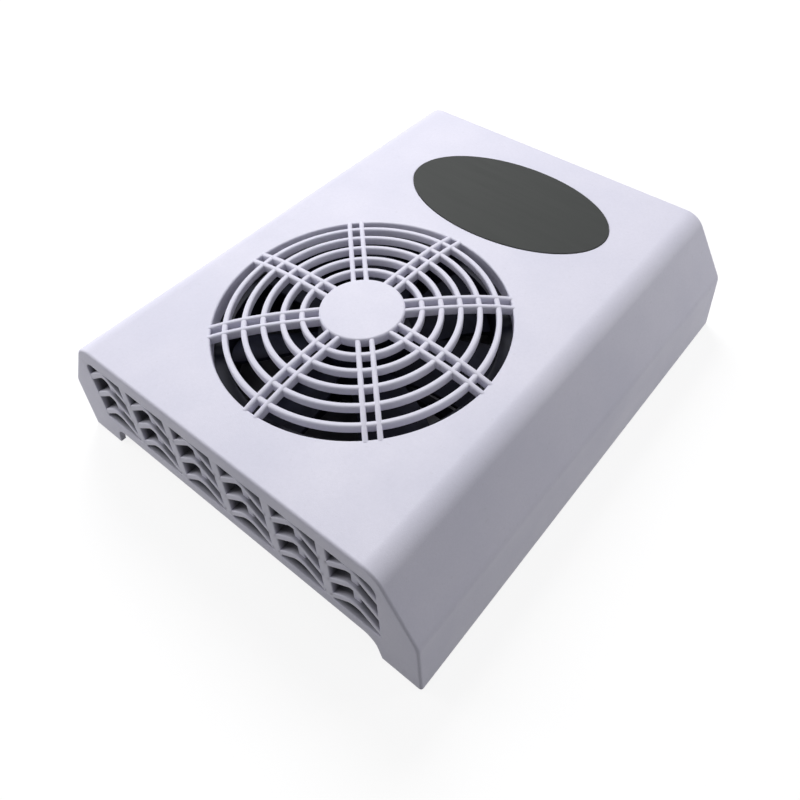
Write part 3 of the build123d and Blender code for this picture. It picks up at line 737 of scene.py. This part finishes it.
def fillet(corners, radii, steps=6):
    """A closed outline with rounded corners. An arc's centre lies on its corner's bisector,
    radius / sin(half the corner's angle) away, and the arc runs between the points at
    radius / tan(half) along the two sides. A corner of no radius stays one point."""
    corners = np.asarray(corners, float)
    radii = np.asarray(radii, float)[:, None]
    before = np.roll(corners, 1, axis=0) - corners
    after = np.roll(corners, -1, axis=0) - corners
    before /= np.linalg.norm(before, axis=1, keepdims=True)
    after /= np.linalg.norm(after, axis=1, keepdims=True)
    half = np.arccos(np.clip((before * after).sum(axis=1), -1, 1))[:, None] / 2
    middle = before + after
    middle /= np.linalg.norm(middle, axis=1, keepdims=True)
    centre = corners + middle * radii / np.sin(half)
    first = corners + before * radii / np.tan(half) - centre
    last = corners + after * radii / np.tan(half) - centre
    turn = (np.pi - 2 * half)[..., None]
    t = np.linspace(0, 1, steps + 1)[None, :, None]
    arcs = first[:, None] * np.sin((1 - t) * turn) + last[:, None] * np.sin(t * turn)
    arcs = arcs / np.sin(turn) + centre[:, None]
    keep = np.ones(arcs.shape[:2], bool)
    keep[radii[:, 0] == 0, 1:] = False
    return arcs[keep]


def circle(count):
    """Angles evenly round a circle."""
    return np.linspace(0, 2 * np.pi, count, endpoint=False)


def rectangle(low, high):
    """Corners of a rectangle, counter-clockwise from its lower right one."""
    return np.array([(high[0], low[1]), (high[0], high[1]), (low[0], high[1]),
                     (low[0], low[1])])


def quarter(radius, steps=4):
    """A rounded edge between two faces: distances in from the side and from the front, at
    radius * (1 - sin) and radius * (1 - cos) of a quarter turn."""
    turn = np.linspace(0, np.pi / 2, steps + 1)
    return np.stack([radius * (1 - np.sin(turn)), radius * (1 - np.cos(turn))], axis=1)


# Casing

# Rounding of the square bosses' upright edges and of the rocker opening's corners
BOSS_CORNER, SWITCH_CORNER = 0.5, 0.4


def cells_box(size, lattice):
    """The lower left and the upper right corner (x, z) of the rectangle round all cells."""
    half = ((CELLS - 1) * lattice.pitch + lattice.width) / 2
    top = size.top - lattice.drop
    return (-half, top - lattice.height), (half, top)


def casing_outline(size, inset):
    """The casing's cross-section (x, z) moved in by inset, from the right foot over the top to
    the left one. The flat top is divided evenly between the two arcs beside it."""
    low = SHELL_LOW[2]
    half = np.array([(SHELL_HIGH[0], low), (size.ridge_width / 2, low + size.ridge_height),
                     (size.top_width / 2, size.top)])
    corners = np.concatenate([half, half[::-1] * (-1, 1)])
    radii = np.array([0, size.ridge_radius - inset, size.top_radius - inset])
    path = fillet(moved(corners, [inset] * 5 + [0]), np.concatenate([radii, radii[::-1]]), 12)
    middle = len(path) // 2
    flat = np.linspace(path[middle - 1], path[middle], TOP_COLUMNS + 1)[1:-1]
    return np.concatenate([path[:middle], flat, path[middle:]])


def end_y(size, z):
    """Half the casing's length at height z: it shrinks by the draft over the full height."""
    return SHELL_HIGH[1] - size.draft * (z - SHELL_LOW[2]) / (size.top - SHELL_LOW[2])


def on_end(size, side, depth=0.0):
    """Places points (x, z) on an end wall, side -1 for the front, at a depth behind it."""
    def lift(points):
        x, z = points[..., 0], points[..., 1]
        return np.stack([x, side * (end_y(size, z) - depth), z], axis=-1)
    return lift


def casing_rows(size, inset, rounding, stations):
    """The casing's skin as rows along Y. Near each end the cross-section moves in by
    r * (1 - cos) while it nears the end wall to r * (1 - sin), a rounded edge of radius r. The
    inner skin has no such edge and ends inset behind the end walls."""
    bend = quarter(rounding) if rounding else np.zeros((1, 2))
    front = np.stack([on_end(size, -1, back)(casing_outline(size, inset + side))
                      for side, back in bend])
    rear = front[::-1] * (1, -1, 1)
    outline = casing_outline(size, inset)
    between = np.stack([np.stack([outline[:, 0], np.full(len(outline), y), outline[:, 1]], -1)
                        for y in stations])
    if not rounding:
        front = front + (0, inset, 0)
        rear = rear - (0, inset, 0)
    return np.concatenate([front, between, rear])


def oval(centre, radii, turn, around):
    """Points of an oval at the angles around, turned by turn."""
    x, y = radii[0] * np.cos(around), radii[1] * np.sin(around)
    return np.stack([centre[0] + x * math.cos(turn) - y * math.sin(turn),
                     centre[1] + x * math.sin(turn) + y * math.cos(turn)], axis=-1)


def frame_ring(half, low, high, rows):
    """Points round a rectangle of the flat top, as the skin divides it, counter-clockwise."""
    x = np.linspace(half, -half, TOP_COLUMNS + 1)
    y = np.linspace(low, high, rows + 1)
    return np.concatenate([
        np.stack([np.full(rows, half), y[:-1]], -1),
        np.stack([x[:-1], np.full(TOP_COLUMNS, high)], -1),
        np.stack([np.full(rows, -half), y[:0:-1]], -1),
        np.stack([x[:0:-1], np.full(TOP_COLUMNS, low)], -1)])


def oval_patch(ring, level, centre, radii, turn, steps, inner=None):
    """Flat top from a rectangle's ring to an oval of the same number of points, then down the
    oval's edge: steps are (outwards, height) of the oval's further rows. With inner, a ring
    and its level, the surface ends flat in that ring."""
    spot = (ring - centre) @ np.array([[math.cos(turn), -math.sin(turn)],
                                       [math.sin(turn), math.cos(turn)]])
    around = np.arctan2(spot[:, 1] / radii[1], spot[:, 0] / radii[0])
    rows = [np.column_stack([ring, np.full(len(ring), level)])]
    rows += [np.column_stack([oval(centre, (radii[0] + out, radii[1] + out), turn, around),
                              np.full(len(ring), z)]) for out, z in steps]
    if inner:
        rows.append(np.column_stack([inner[0], np.full(len(ring), inner[1])]))
    return grid(np.stack(rows), close_columns=True)


def closed_fan(ring):
    """A ring's flat inside, as triangles round its middle."""
    middle = np.broadcast_to(ring.mean(axis=0), ring.shape)
    return grid(np.stack([ring, middle]), close_columns=True)


def boss_patch(spot, outline, hole, low, hole_top, top):
    """An upright post at spot with a blind pilot hole from below: rows of points run from the
    hole's closed end down, across the lower face and up the post's outside. top gives each
    point's upper end."""
    around = np.arctan2(outline[:, 1], outline[:, 0])
    ring = hole * np.stack([np.cos(around), np.sin(around)], axis=1)
    middle = np.zeros_like(ring)
    rows = [(middle, hole_top), (ring, hole_top), (ring, low), (outline, low),
            (outline, top(outline + spot)), (middle, top(middle + spot))]
    return grid(np.stack([np.column_stack([flat + spot, np.broadcast_to(z, len(flat))])
                          for flat, z in rows]), close_columns=True)


def boss_patches(size, small):
    """Round posts for the fan's screws and square ones over the feet for the base's, which
    end inside the wall above them."""
    outline = casing_outline(size, size.wall / 2)
    right = outline[:len(outline) // 2][::-1]

    def top(points):
        return np.interp(np.abs(points[:, 0]), right[:, 0], right[:, 1])

    post = oval((0, 0), (small.boss, small.boss), 0, circle(BOSS_STEPS))
    patches = [boss_patch(spot, post, small.fan_screw, FAN_HIGH[2],
                          FAN_HIGH[2] + small.screw_grip + small.hole_room, top)
               for spot in fan_holes(small)]
    half = np.full(2, small.base_boss / 2)
    square = fillet(rectangle(-half, half), [BOSS_CORNER] * 4, 4)
    patches += [boss_patch(foot.mean(axis=0)[:2], square, small.base_screw, BASE_TOP,
                           BASE_TOP + small.base_grip + small.hole_room, top)
                for foot in FEET]
    return patches


def fan_holes(small):
    """Middles of the four screw holes in the fan frame's corners."""
    middle = (FAN_LOW + FAN_HIGH)[:2] / 2
    half = (FAN_HIGH - FAN_LOW)[:2] / 2 - small.fan_hole_inset
    return [middle + half * (x, y) for x in (-1, 1) for y in (-1, 1)]


def flat_half(size, inset):
    """Half the width of the flat top, of the skin moved in by inset."""
    x, z = casing_outline(size, inset).T
    return np.abs(x[z > size.top - inset - 1e-6]).max()


def wall_spot(corners):
    """The middle (x, z) in millimetres of a box that stands in an end wall."""
    return np.mean(corners, axis=0)[[0, 2]] / MM


def casing_patches(size, lattice, grille, small):
    """All the faces of the casing: skin, inner skin, end walls with their openings, the
    intake's collar, the badge's seat and the skirt's lower edge."""
    seat_radii = np.array([small.badge_length, small.badge_width]) / 2 + small.badge_gap
    half, inner_half = flat_half(size, 0), flat_half(size, size.wall)
    low = FAN_Y - half
    high = (FAN_Y + grille.radius + BADGE_CENTRE[1] - seat_radii[1]) / 2
    far = BADGE_CENTRE[1] + seat_radii[1] + SEAT_MARGIN
    stations = np.concatenate([np.linspace(low, high, INTAKE_ROWS + 1),
                               np.linspace(high, far, BADGE_ROWS + 1)[1:]])
    outer = casing_rows(size, 0, size.end_radius, stations)
    inner = casing_rows(size, size.wall, 0, stations)
    first = len(quarter(size.end_radius))
    top = np.zeros((len(outer) - 1, outer.shape[1] - 1), bool)
    side = (outer.shape[1] - 1 - TOP_COLUMNS) // 2
    top[first:first + INTAKE_ROWS + BADGE_ROWS, side:side + TOP_COLUMNS] = True
    hollow = np.zeros((len(inner) - 1, inner.shape[1] - 1), bool)
    hollow[1:1 + INTAKE_ROWS, side:side + TOP_COLUMNS] = True
    patches = [grid(outer, skip=top), grid(inner, skip=hollow)]

    bottom = size.top - grille.collar_drop
    under = size.top - size.wall
    steps = [(out, size.top - down) for out, down in quarter(size.intake_edge)]
    steps += [(0, bottom), (grille.collar, bottom), (grille.collar, under)]
    patches.append(oval_patch(
        frame_ring(half, low, high, INTAKE_ROWS), size.top, np.array([0, FAN_Y]),
        (grille.radius, grille.radius), 0, steps,
        (frame_ring(inner_half, low, high, INTAKE_ROWS), under)))

    steps = [(out, size.top - down) for out, down in quarter(small.seat_edge, 2)]
    steps += [(0, size.top - small.badge_seat)]
    points, faces = oval_patch(frame_ring(half, high, far, BADGE_ROWS), size.top,
                               BADGE_CENTRE, seat_radii, BADGE_TURN, steps)
    seat = points.reshape(-1, 2 * (BADGE_ROWS + TOP_COLUMNS), 3)[-1]
    patches += [(points, faces), closed_fan(seat)]

    def recess(out):
        lean = [(size.recess_width / 2, SHELL_LOW[2]),
                (size.recess_width / 2 - size.recess_slant, SHELL_LOW[2] + size.recess_height)]
        corners = np.array(lean + [(-x, z) for x, z in lean[::-1]])
        radius = size.recess_radius + out
        return fillet(moved(corners, [-out, -out, -out, 0]), [0, radius, radius, 0], 8)

    cells = rectangle(*cells_box(size, lattice))

    def opening(out, below=0.0):
        radius = lattice.corner + out
        return fillet(moved(cells, [-out, -out, -out, -out - below]), [0, radius, radius, 0], 6)

    soft = quarter(size.edge)
    recess_rows = [on_end(size, -1, depth)(recess(out)) for out, depth in soft]
    recess_rows.append(on_end(size, -1, size.wall)(recess(0)))
    lip = size.recess_height + SHELL_LOW[2] + size.recess_lip
    below = cells[0, 1] - lattice.border - lip
    opening_rows = [on_end(size, -1, depth)(opening(out)) for out, depth in soft]
    opening_rows += [on_end(size, -1, lattice.depth)(opening(0)),
                     on_end(size, -1, lattice.depth)(opening(lattice.border, below)),
                     on_end(size, -1, size.wall)(opening(lattice.border, below))]
    patches += [grid(np.stack(recess_rows)), grid(np.stack(opening_rows), close_columns=True)]

    front = np.concatenate([outer[0][:, [0, 2]], recess(size.edge)[::-1]])
    patches.append(flat_face(front, [opening(size.edge)], on_end(size, -1)))
    back = np.concatenate([inner[0][:, [0, 2]], recess(0)[::-1]])
    patches.append(flat_face(back, [opening(lattice.border, below)],
                             on_end(size, -1, size.wall)))

    middle = wall_spot(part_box("switch_housing"))
    reach = np.array([small.switch_width, small.switch_height]) / 2
    switch = fillet(rectangle(middle - reach, middle + reach), [SWITCH_CORNER] * 4, 2)
    inlet = oval(wall_spot(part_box("inlet_socket")), np.full(2, small.inlet_radius), 0,
                 circle(INLET_STEPS))
    for loop in (switch, inlet):
        patches.append(grid(np.stack([on_end(size, 1)(loop), on_end(size, 1, size.wall)(loop)]),
                            close_columns=True))
    patches.append(flat_face(outer[-1][:, [0, 2]], [switch, inlet], on_end(size, 1)))
    patches.append(flat_face(inner[-1][:, [0, 2]], [switch, inlet], on_end(size, 1, size.wall)))

    foot = np.stack(recess_rows)
    rim = np.concatenate([foot[::-1, 0], outer[:, 0], outer[::-1, -1], foot[:, -1],
                          inner[:, -1], inner[::-1, 0]])[:, :2]
    patches.append(flat_face(rim, [], lambda points: np.column_stack(
        [points, np.full(len(points), SHELL_LOW[2])])))
    return patches


def spread(count, pitch):
    """Places pitch apart, as many as count, with 0 in their middle."""
    return (np.arange(count) - (count - 1) / 2) * pitch


def front_bar(size, lattice, path, width, sink):
    """A bar of the lattice: a section of the given width, sunk behind the front wall's face and
    as much short of the lattice's depth, its two front edges rounded, carried along a path
    (x, z) on the front wall. At each point the section's width lies along the path's normal."""
    along = np.gradient(path, axis=0)
    along /= np.linalg.norm(along, axis=1, keepdims=True)
    normal = np.stack([-along[:, 1], along[:, 0]], axis=1)
    corners = rectangle((-width / 2, sink), (width / 2, lattice.depth - sink))
    section = fillet(corners, [size.edge, 0, 0, size.edge], 4)
    flat = path[:, None] + normal[:, None] * section[None, :, :1]
    rows = on_end(size, -1, section[None, :, 1])(flat)
    return capped(rows)


def lattice_patches(size, lattice):
    """The mullions between the cells and the bent ribs in each cell, and apart from them the
    upright web of each cell that ties the apexes to the rail."""
    top = size.top - lattice.drop
    low = top - lattice.height
    reach = lattice.width / 2 + lattice.rib_root
    slope = math.atan2(lattice.rib_rise, lattice.width / 2)
    first = top + lattice.rib_merge - lattice.rib / math.cos(slope) / 2
    ends = low - lattice.root, top + lattice.root
    patches = [front_bar(size, lattice, np.array([(x, ends[0]), (x, ends[1])]),
                         lattice.pitch - lattice.width, lattice.rib_sink)
               for x in spread(CELLS - 1, lattice.pitch)]
    rise = reach * math.tan(slope)
    apexes = first - np.arange(RIBS) * lattice.rib_pitch
    bends = [lattice.rib_bend] * (RIBS - 1) + [lattice.low_bend]
    for x in spread(CELLS, lattice.pitch):
        for apex, bend in zip(apexes, bends):
            bent = fillet([(x - reach, apex - rise), (x, apex), (x + reach, apex - rise)],
                          [0, bend, 0], 10)
            patches.append(front_bar(size, lattice, bent, lattice.rib, lattice.rib_sink))
    webs = [front_bar(size, lattice, np.array([(x, apexes[-1] - lattice.rib), (x, ends[1])]),
                      lattice.web, lattice.web_sink) for x in spread(CELLS, lattice.pitch)]
    return patches, webs


# Grille

# Rounding of the bars' lower edges and of the disc's lower and upper edge, and how far the
# bars reach under the disc
LOW_EDGE = 0.3
DISC_EDGES = (0.4, 0.9)
DISC_OVERLAP = 3.0


def dome_z(size, grille, radius):
    """Height of the domed surface at a distance from the axis: the dome's height in the
    middle, less a share that grows with a power of the distance and is all of it at the rim."""
    return size.top + grille.dome * (1 - (radius / grille.rim) ** grille.power)


def bar_section(grille, low, high):
    """The section of a ring or bar, with a rounded crest."""
    return fillet(rectangle(low, high), [LOW_EDGE, grille.crest, grille.crest, LOW_EDGE], 5)


def ring_patch(size, grille, radius):
    """One ring: a section with a rounded crest, turned about the fan's axis."""
    crest = dome_z(size, grille, radius)
    half = grille.ring / 2
    section = bar_section(grille, (radius - half, crest - grille.thickness + grille.ring_sink),
                          (radius + half, crest - grille.ring_sink))
    around = circle(RING_STEPS)[:, None]
    rows = np.stack([section[:, 0] * np.cos(around), FAN_Y + section[:, 0] * np.sin(around),
                     np.broadcast_to(section[:, 1], (RING_STEPS, len(section)))], axis=-1)
    return grid(rows, close_rows=True, close_columns=True)


def bar_patch(size, grille, turn, offset):
    """Half of a bar: a section with a rounded crest, carried outwards from under the disc at
    an offset beside the spoke's middle, its height following the dome."""
    along = np.linspace(grille.disc - DISC_OVERLAP, grille.radius + grille.collar / 2, BAR_STEPS)
    section = bar_section(grille, (-grille.bar / 2, -grille.thickness), (grille.bar / 2, 0))
    out = np.broadcast_to(along[:, None], (BAR_STEPS, len(section)))
    aside = offset + section[None, :, 0]
    height = dome_z(size, grille, along)[:, None] + section[None, :, 1]
    rows = np.stack([out * math.cos(turn) - aside * math.sin(turn),
                     FAN_Y + out * math.sin(turn) + aside * math.cos(turn), height], axis=-1)
    return capped(rows)


def disc_patch(size, grille):
    """The middle disc: its profile (radius, z) turned about the fan's axis."""
    top = dome_z(size, grille, 0) + grille.disc_rise
    low = dome_z(size, grille, grille.disc) - grille.thickness
    profile = np.roll(fillet([(grille.disc, low), (grille.disc, top), (0, top), (0, low)],
                             [*DISC_EDGES, 0, 0], 6), 1, axis=0)
    out, z = profile[:, :1], profile[:, 1:]
    around = circle(DISC_STEPS)
    return grid(np.stack([out * np.cos(around), FAN_Y + out * np.sin(around),
                          z.repeat(len(around), axis=1)], axis=-1), close_columns=True)


def grille_patches(size, grille):
    """The rings, the two bars of each spoke and the middle disc."""
    patches = [ring_patch(size, grille, radius)
               for radius in np.linspace(grille.first_ring, grille.last_ring, RINGS)]
    patches += [bar_patch(size, grille, turn, offset) for turn in circle(SPOKES) + grille.turn
                for offset in (-grille.spacing / 2, grille.spacing / 2)]
    return patches + [disc_patch(size, grille)]


# Small parts

# Width of the ring of faces inside the badge's rounded edge
FACE_BORDER = 1.5
# A foot: rounding of its upper edge; corner radius, slope's width and depth of the dish in its
# face
PAD_EDGE, DISH_CORNER, DISH_SLOPE, DISH_DEPTH = 0.15, 0.1, 0.3, 0.25
# A screw's proportions, as shares of its thread's radius: head, shank and tip, the thread's
# depth, and the head's height; then, as shares of the head, the cross and the dome
HEAD, HEAD_HEIGHT, SHANK, TIP, THREAD_DEPTH = 1.9, 1.25, 0.82, 0.6, 0.2
CROSS_WIDTH, CROSS_LENGTH, CROSS_LEVEL, RIM_LEVEL, DOME = 0.2, 0.62, 0.35, 0.55, 0.9
HEAD_LINES = np.array([0.0, 0.1, 0.17, 0.21, 0.4, 0.6, 0.64, 0.82, 1.0])
THREAD_STEPS = 5


def badge_patch(small):
    """The oval plate: rows of the oval from its underside's edge up, round the rim and onto
    its face, and the two flat areas inside them."""
    radii = np.array([small.badge_length, small.badge_width]) / 2
    around = circle(RING_STEPS)
    low, high = BADGE_LOW[2], BADGE_HIGH[2]
    steps = [(0, low)]
    steps += [(-inwards, high - down) for inwards, down in quarter(small.badge_rim)[::-1]]
    steps += [(-FACE_BORDER, high)]
    rows = [np.column_stack([oval(BADGE_CENTRE, radii + out, BADGE_TURN, around),
                             np.full(len(around), z)]) for out, z in steps]
    return grid(np.stack(rows), close_columns=True), closed_fan(rows[0]), closed_fan(rows[-1])


def pad_patch(low, high, corner, edge):
    """A rounded square pad: its outline moves in by r * (1 - cos) over the last r of its
    height, a rounded lower edge, and its face is dished a little."""
    def ring(inset, z):
        outline = fillet(moved(rectangle(low[:2], high[:2]), [inset] * 4), [corner - inset] * 4)
        return np.column_stack([outline, np.full(len(outline), z)])

    rows = [ring(PAD_EDGE, high[2]), ring(0, high[2] - PAD_EDGE)]
    rows += [ring(side, low[2] + up) for up, side in quarter(edge)]
    rows += [ring(corner - DISH_CORNER - DISH_SLOPE, low[2]),
             ring(corner - DISH_CORNER, low[2] + DISH_DEPTH)]
    return grid(np.stack(rows), close_columns=True), closed_fan(rows[0]), closed_fan(rows[-1])


def screw_patches(spot, seat, tip, radius, grip, pitch):
    """A pan-head screw that points up, its head under z = seat. The head is a square grid drawn
    into a disc, x = u * sqrt(1 - v * v / 2) and y the same way, domed downwards and pushed in
    along a cross; round the shank the radius follows a saw-tooth of z less the turn."""
    head, height = radius * HEAD, radius * HEAD_HEIGHT
    line = np.concatenate([-HEAD_LINES[:0:-1], HEAD_LINES])
    u, v = np.meshgrid(line, line)
    x, y = u * np.sqrt(1 - v ** 2 / 2), v * np.sqrt(1 - u ** 2 / 2)
    dome = RIM_LEVEL + (1 - RIM_LEVEL) * np.sqrt(1 - DOME * (x ** 2 + y ** 2))
    near, far = np.minimum(abs(u), abs(v)), np.maximum(abs(u), abs(v))
    cross = (near < CROSS_WIDTH) & (far < CROSS_LENGTH)
    face = np.stack([spot[0] + head * x, spot[1] + head * y,
                     seat - height * np.where(cross, CROSS_LEVEL, dome)], axis=-1)
    rim = np.concatenate([face[0, :-1], face[:-1, -1], face[-1, :0:-1], face[:0:-1, 0]])
    around = np.arctan2(rim[:, 1] - spot[1], rim[:, 0] - spot[0])
    smooth = tip - grip
    cone = tip - radius / 2
    z = np.concatenate([[seat, seat, smooth], np.arange(smooth, cone, pitch / THREAD_STEPS),
                        [cone, tip]])[:, None]
    saw = np.abs(2 * np.mod(z / pitch - around / (2 * np.pi), 1) - 1)
    reach = radius * np.where(z > smooth, 1 - THREAD_DEPTH * saw, SHANK)
    reach[0] = head
    reach[-2:] = [[radius * TIP], [0]]
    shank = np.stack([spot[0] + reach * np.cos(around), spot[1] + reach * np.sin(around),
                      np.broadcast_to(z, reach.shape)], axis=-1)
    return grid(face), grid(np.concatenate([rim[None], shank]), close_columns=True)


# Operators and panel


class COLLECTOR_OT_casing(bpy.types.Operator):
    """Moulded casing with its openings, collar and badge seat"""
    bl_idname = "collector.casing"
    bl_label = "Casing"

    def execute(self, context):
        size = sizes("casing")
        lattice = sizes("lattice")
        grille = sizes("grille")
        small = sizes("small_parts")
        carry(mesh_piece("casing", *casing_patches(size, lattice, grille, small),
                         *boss_patches(size, small), material=shell_finish()),
              "housing", "shell", "top_shell")
        return {"FINISHED"}


class COLLECTOR_OT_lattice(bpy.types.Operator):
    """Mullions and bent ribs of the outlet in the front wall"""
    bl_idname = "collector.lattice"
    bl_label = "Outlet lattice"

    def execute(self, context):
        size = sizes("casing")
        lattice = sizes("lattice")
        ribs, webs = lattice_patches(size, lattice)
        carry(mesh_piece("outlet_lattice", *ribs, material=outlet_finish()),
              "housing", "shell", "top_shell")
        carry(mesh_piece("outlet_webs", *webs, material=web_finish(lattice.web_sink * MM)),
              "housing", "shell", "top_shell")
        return {"FINISHED"}


class COLLECTOR_OT_grille(bpy.types.Operator):
    """Domed grille over the fan: rings, paired bars and the middle disc"""
    bl_idname = "collector.grille"
    bl_label = "Intake grille"

    def execute(self, context):
        size = sizes("casing")
        grille = sizes("grille")
        carry(mesh_piece("intake_grille", *grille_patches(size, grille),
                         material=shell_finish()), "housing", "shell", "top_shell")
        return {"FINISHED"}


class COLLECTOR_OT_badge(bpy.types.Operator):
    """Oval plate on the flat top"""
    bl_idname = "collector.badge"
    bl_label = "Badge"

    def execute(self, context):
        small = sizes("small_parts")
        carry(mesh_piece("badge", *badge_patch(small),
                         material=finish("badge_film", badge_film, tone("badge"))),
              "housing", "badge", "oval_badge")
        return {"FINISHED"}


class COLLECTOR_OT_base(bpy.types.Operator):
    """Base plate and rubber feet"""
    bl_idname = "collector.base"
    bl_label = "Base"

    def execute(self, context):
        # The base plate's inner side gets painted shade
        plastic = finish("base_plastic", plastic_with_painted_shade, tone("shell_shade"),
                         (BASE_TOP - PAINTED_SHADE_DROP) * MM, FAN_LOW[1] * MM)
        soften(paint("base_plate", plastic), BASE_EDGE)
        small = sizes("small_parts")
        for i, (low, high) in enumerate(FEET, 1):
            carry(mesh_piece(f"foot_pad_{i}", *pad_patch(low, high, small.foot_corner,
                                                         small.foot_edge),
                             material=rubber_finish()), "housing", "rubber", f"rubber_foot_{i}")
        return {"FINISHED"}


class COLLECTOR_OT_screws(bpy.types.Operator):
    """Four screws through the fan frame and four through the base"""
    bl_idname = "collector.screws"
    bl_label = "Screws"

    def execute(self, context):
        small = sizes("small_parts")
        for i, spot in enumerate(fan_holes(small), 1):
            carry(mesh_piece(f"fan_screw_{i}", *screw_patches(
                spot, FAN_LOW[2], FAN_HIGH[2] + small.screw_grip, small.fan_screw,
                small.screw_grip, small.thread), material=steel_finish()), "housing", "steel")
        for i, foot in enumerate(FEET, 1):
            carry(mesh_piece(f"base_screw_{i}", *screw_patches(
                foot.mean(axis=0)[:2], BASE_TOP - small.floor, BASE_TOP + small.base_grip,
                small.base_screw, small.base_grip, small.thread),
                material=steel_finish()), "housing", "steel")
        return {"FINISHED"}


class COLLECTOR_OT_fan(bpy.types.Operator):
    """Fan frame, rotor and shaft"""
    bl_idname = "collector.fan"
    bl_label = "Fan"

    def execute(self, context):
        paint("fan_frame", fan_finish())
        paint("fan_rotor", fan_finish())
        paint("fan_shaft", steel_finish())
        return {"FINISHED"}


class COLLECTOR_OT_controls(bpy.types.Operator):
    """Rocker switch and power inlet in the rear wall"""
    bl_idname = "collector.controls"
    bl_label = "Rear controls"

    def execute(self, context):
        for name in ("switch_housing", "rocker_button", "inlet_socket", "inlet_nut"):
            soften(paint(name, switch_finish()), CONTROL_EDGE)
        for name in ("switch_terminal_upper", "switch_terminal_lower", "inlet_pin",
                     "inlet_lug_near", "inlet_lug_far"):
            paint(name, brass_finish())
        return {"FINISHED"}


OPERATORS = (COLLECTOR_OT_stage, COLLECTOR_OT_casing, COLLECTOR_OT_lattice,
             COLLECTOR_OT_grille, COLLECTOR_OT_badge, COLLECTOR_OT_base,
             COLLECTOR_OT_screws, COLLECTOR_OT_fan, COLLECTOR_OT_controls)
GROUPS = {"collector_casing": CollectorCasing, "collector_lattice": CollectorLattice,
          "collector_grille": CollectorGrille, "collector_small_parts": CollectorSmallParts,
          "collector_finish": CollectorFinish, "collector_stage": CollectorStage}


class COLLECTOR_PT_panel(bpy.types.Panel):
    """Lists the collector's pieces"""
    bl_idname = "COLLECTOR_PT_panel"
    bl_label = "Dust collector"
    bl_space_type = "VIEW_3D"
    bl_region_type = "UI"
    bl_category = "Dust collector"

    def draw(self, context):
        for name in GROUPS:
            group = getattr(context.scene, name)
            for key in group.__annotations__:
                self.layout.prop(group, key)
        for operator in OPERATORS:
            self.layout.operator(operator.bl_idname)


def register():
    for group in GROUPS.values():
        bpy.utils.register_class(group)
    for key, group in GROUPS.items():
        setattr(bpy.types.Scene, key, bpy.props.PointerProperty(type=group))
    for made in (*OPERATORS, COLLECTOR_PT_panel):
        bpy.utils.register_class(made)


def unregister():
    for made in reversed((*OPERATORS, COLLECTOR_PT_panel)):
        bpy.utils.unregister_class(made)
    for key in GROUPS:
        delattr(bpy.types.Scene, key)
    for group in GROUPS.values():
        bpy.utils.unregister_class(group)


def main():
    register()
    bpy.ops.collector.stage()
    bpy.ops.collector.casing()
    bpy.ops.collector.lattice()
    bpy.ops.collector.grille()
    bpy.ops.collector.badge()
    bpy.ops.collector.base()
    bpy.ops.collector.screws()
    bpy.ops.collector.fan()
    bpy.ops.collector.controls()
    bpy.context.view_layer.update()


if __name__ == "__main__":
    main()
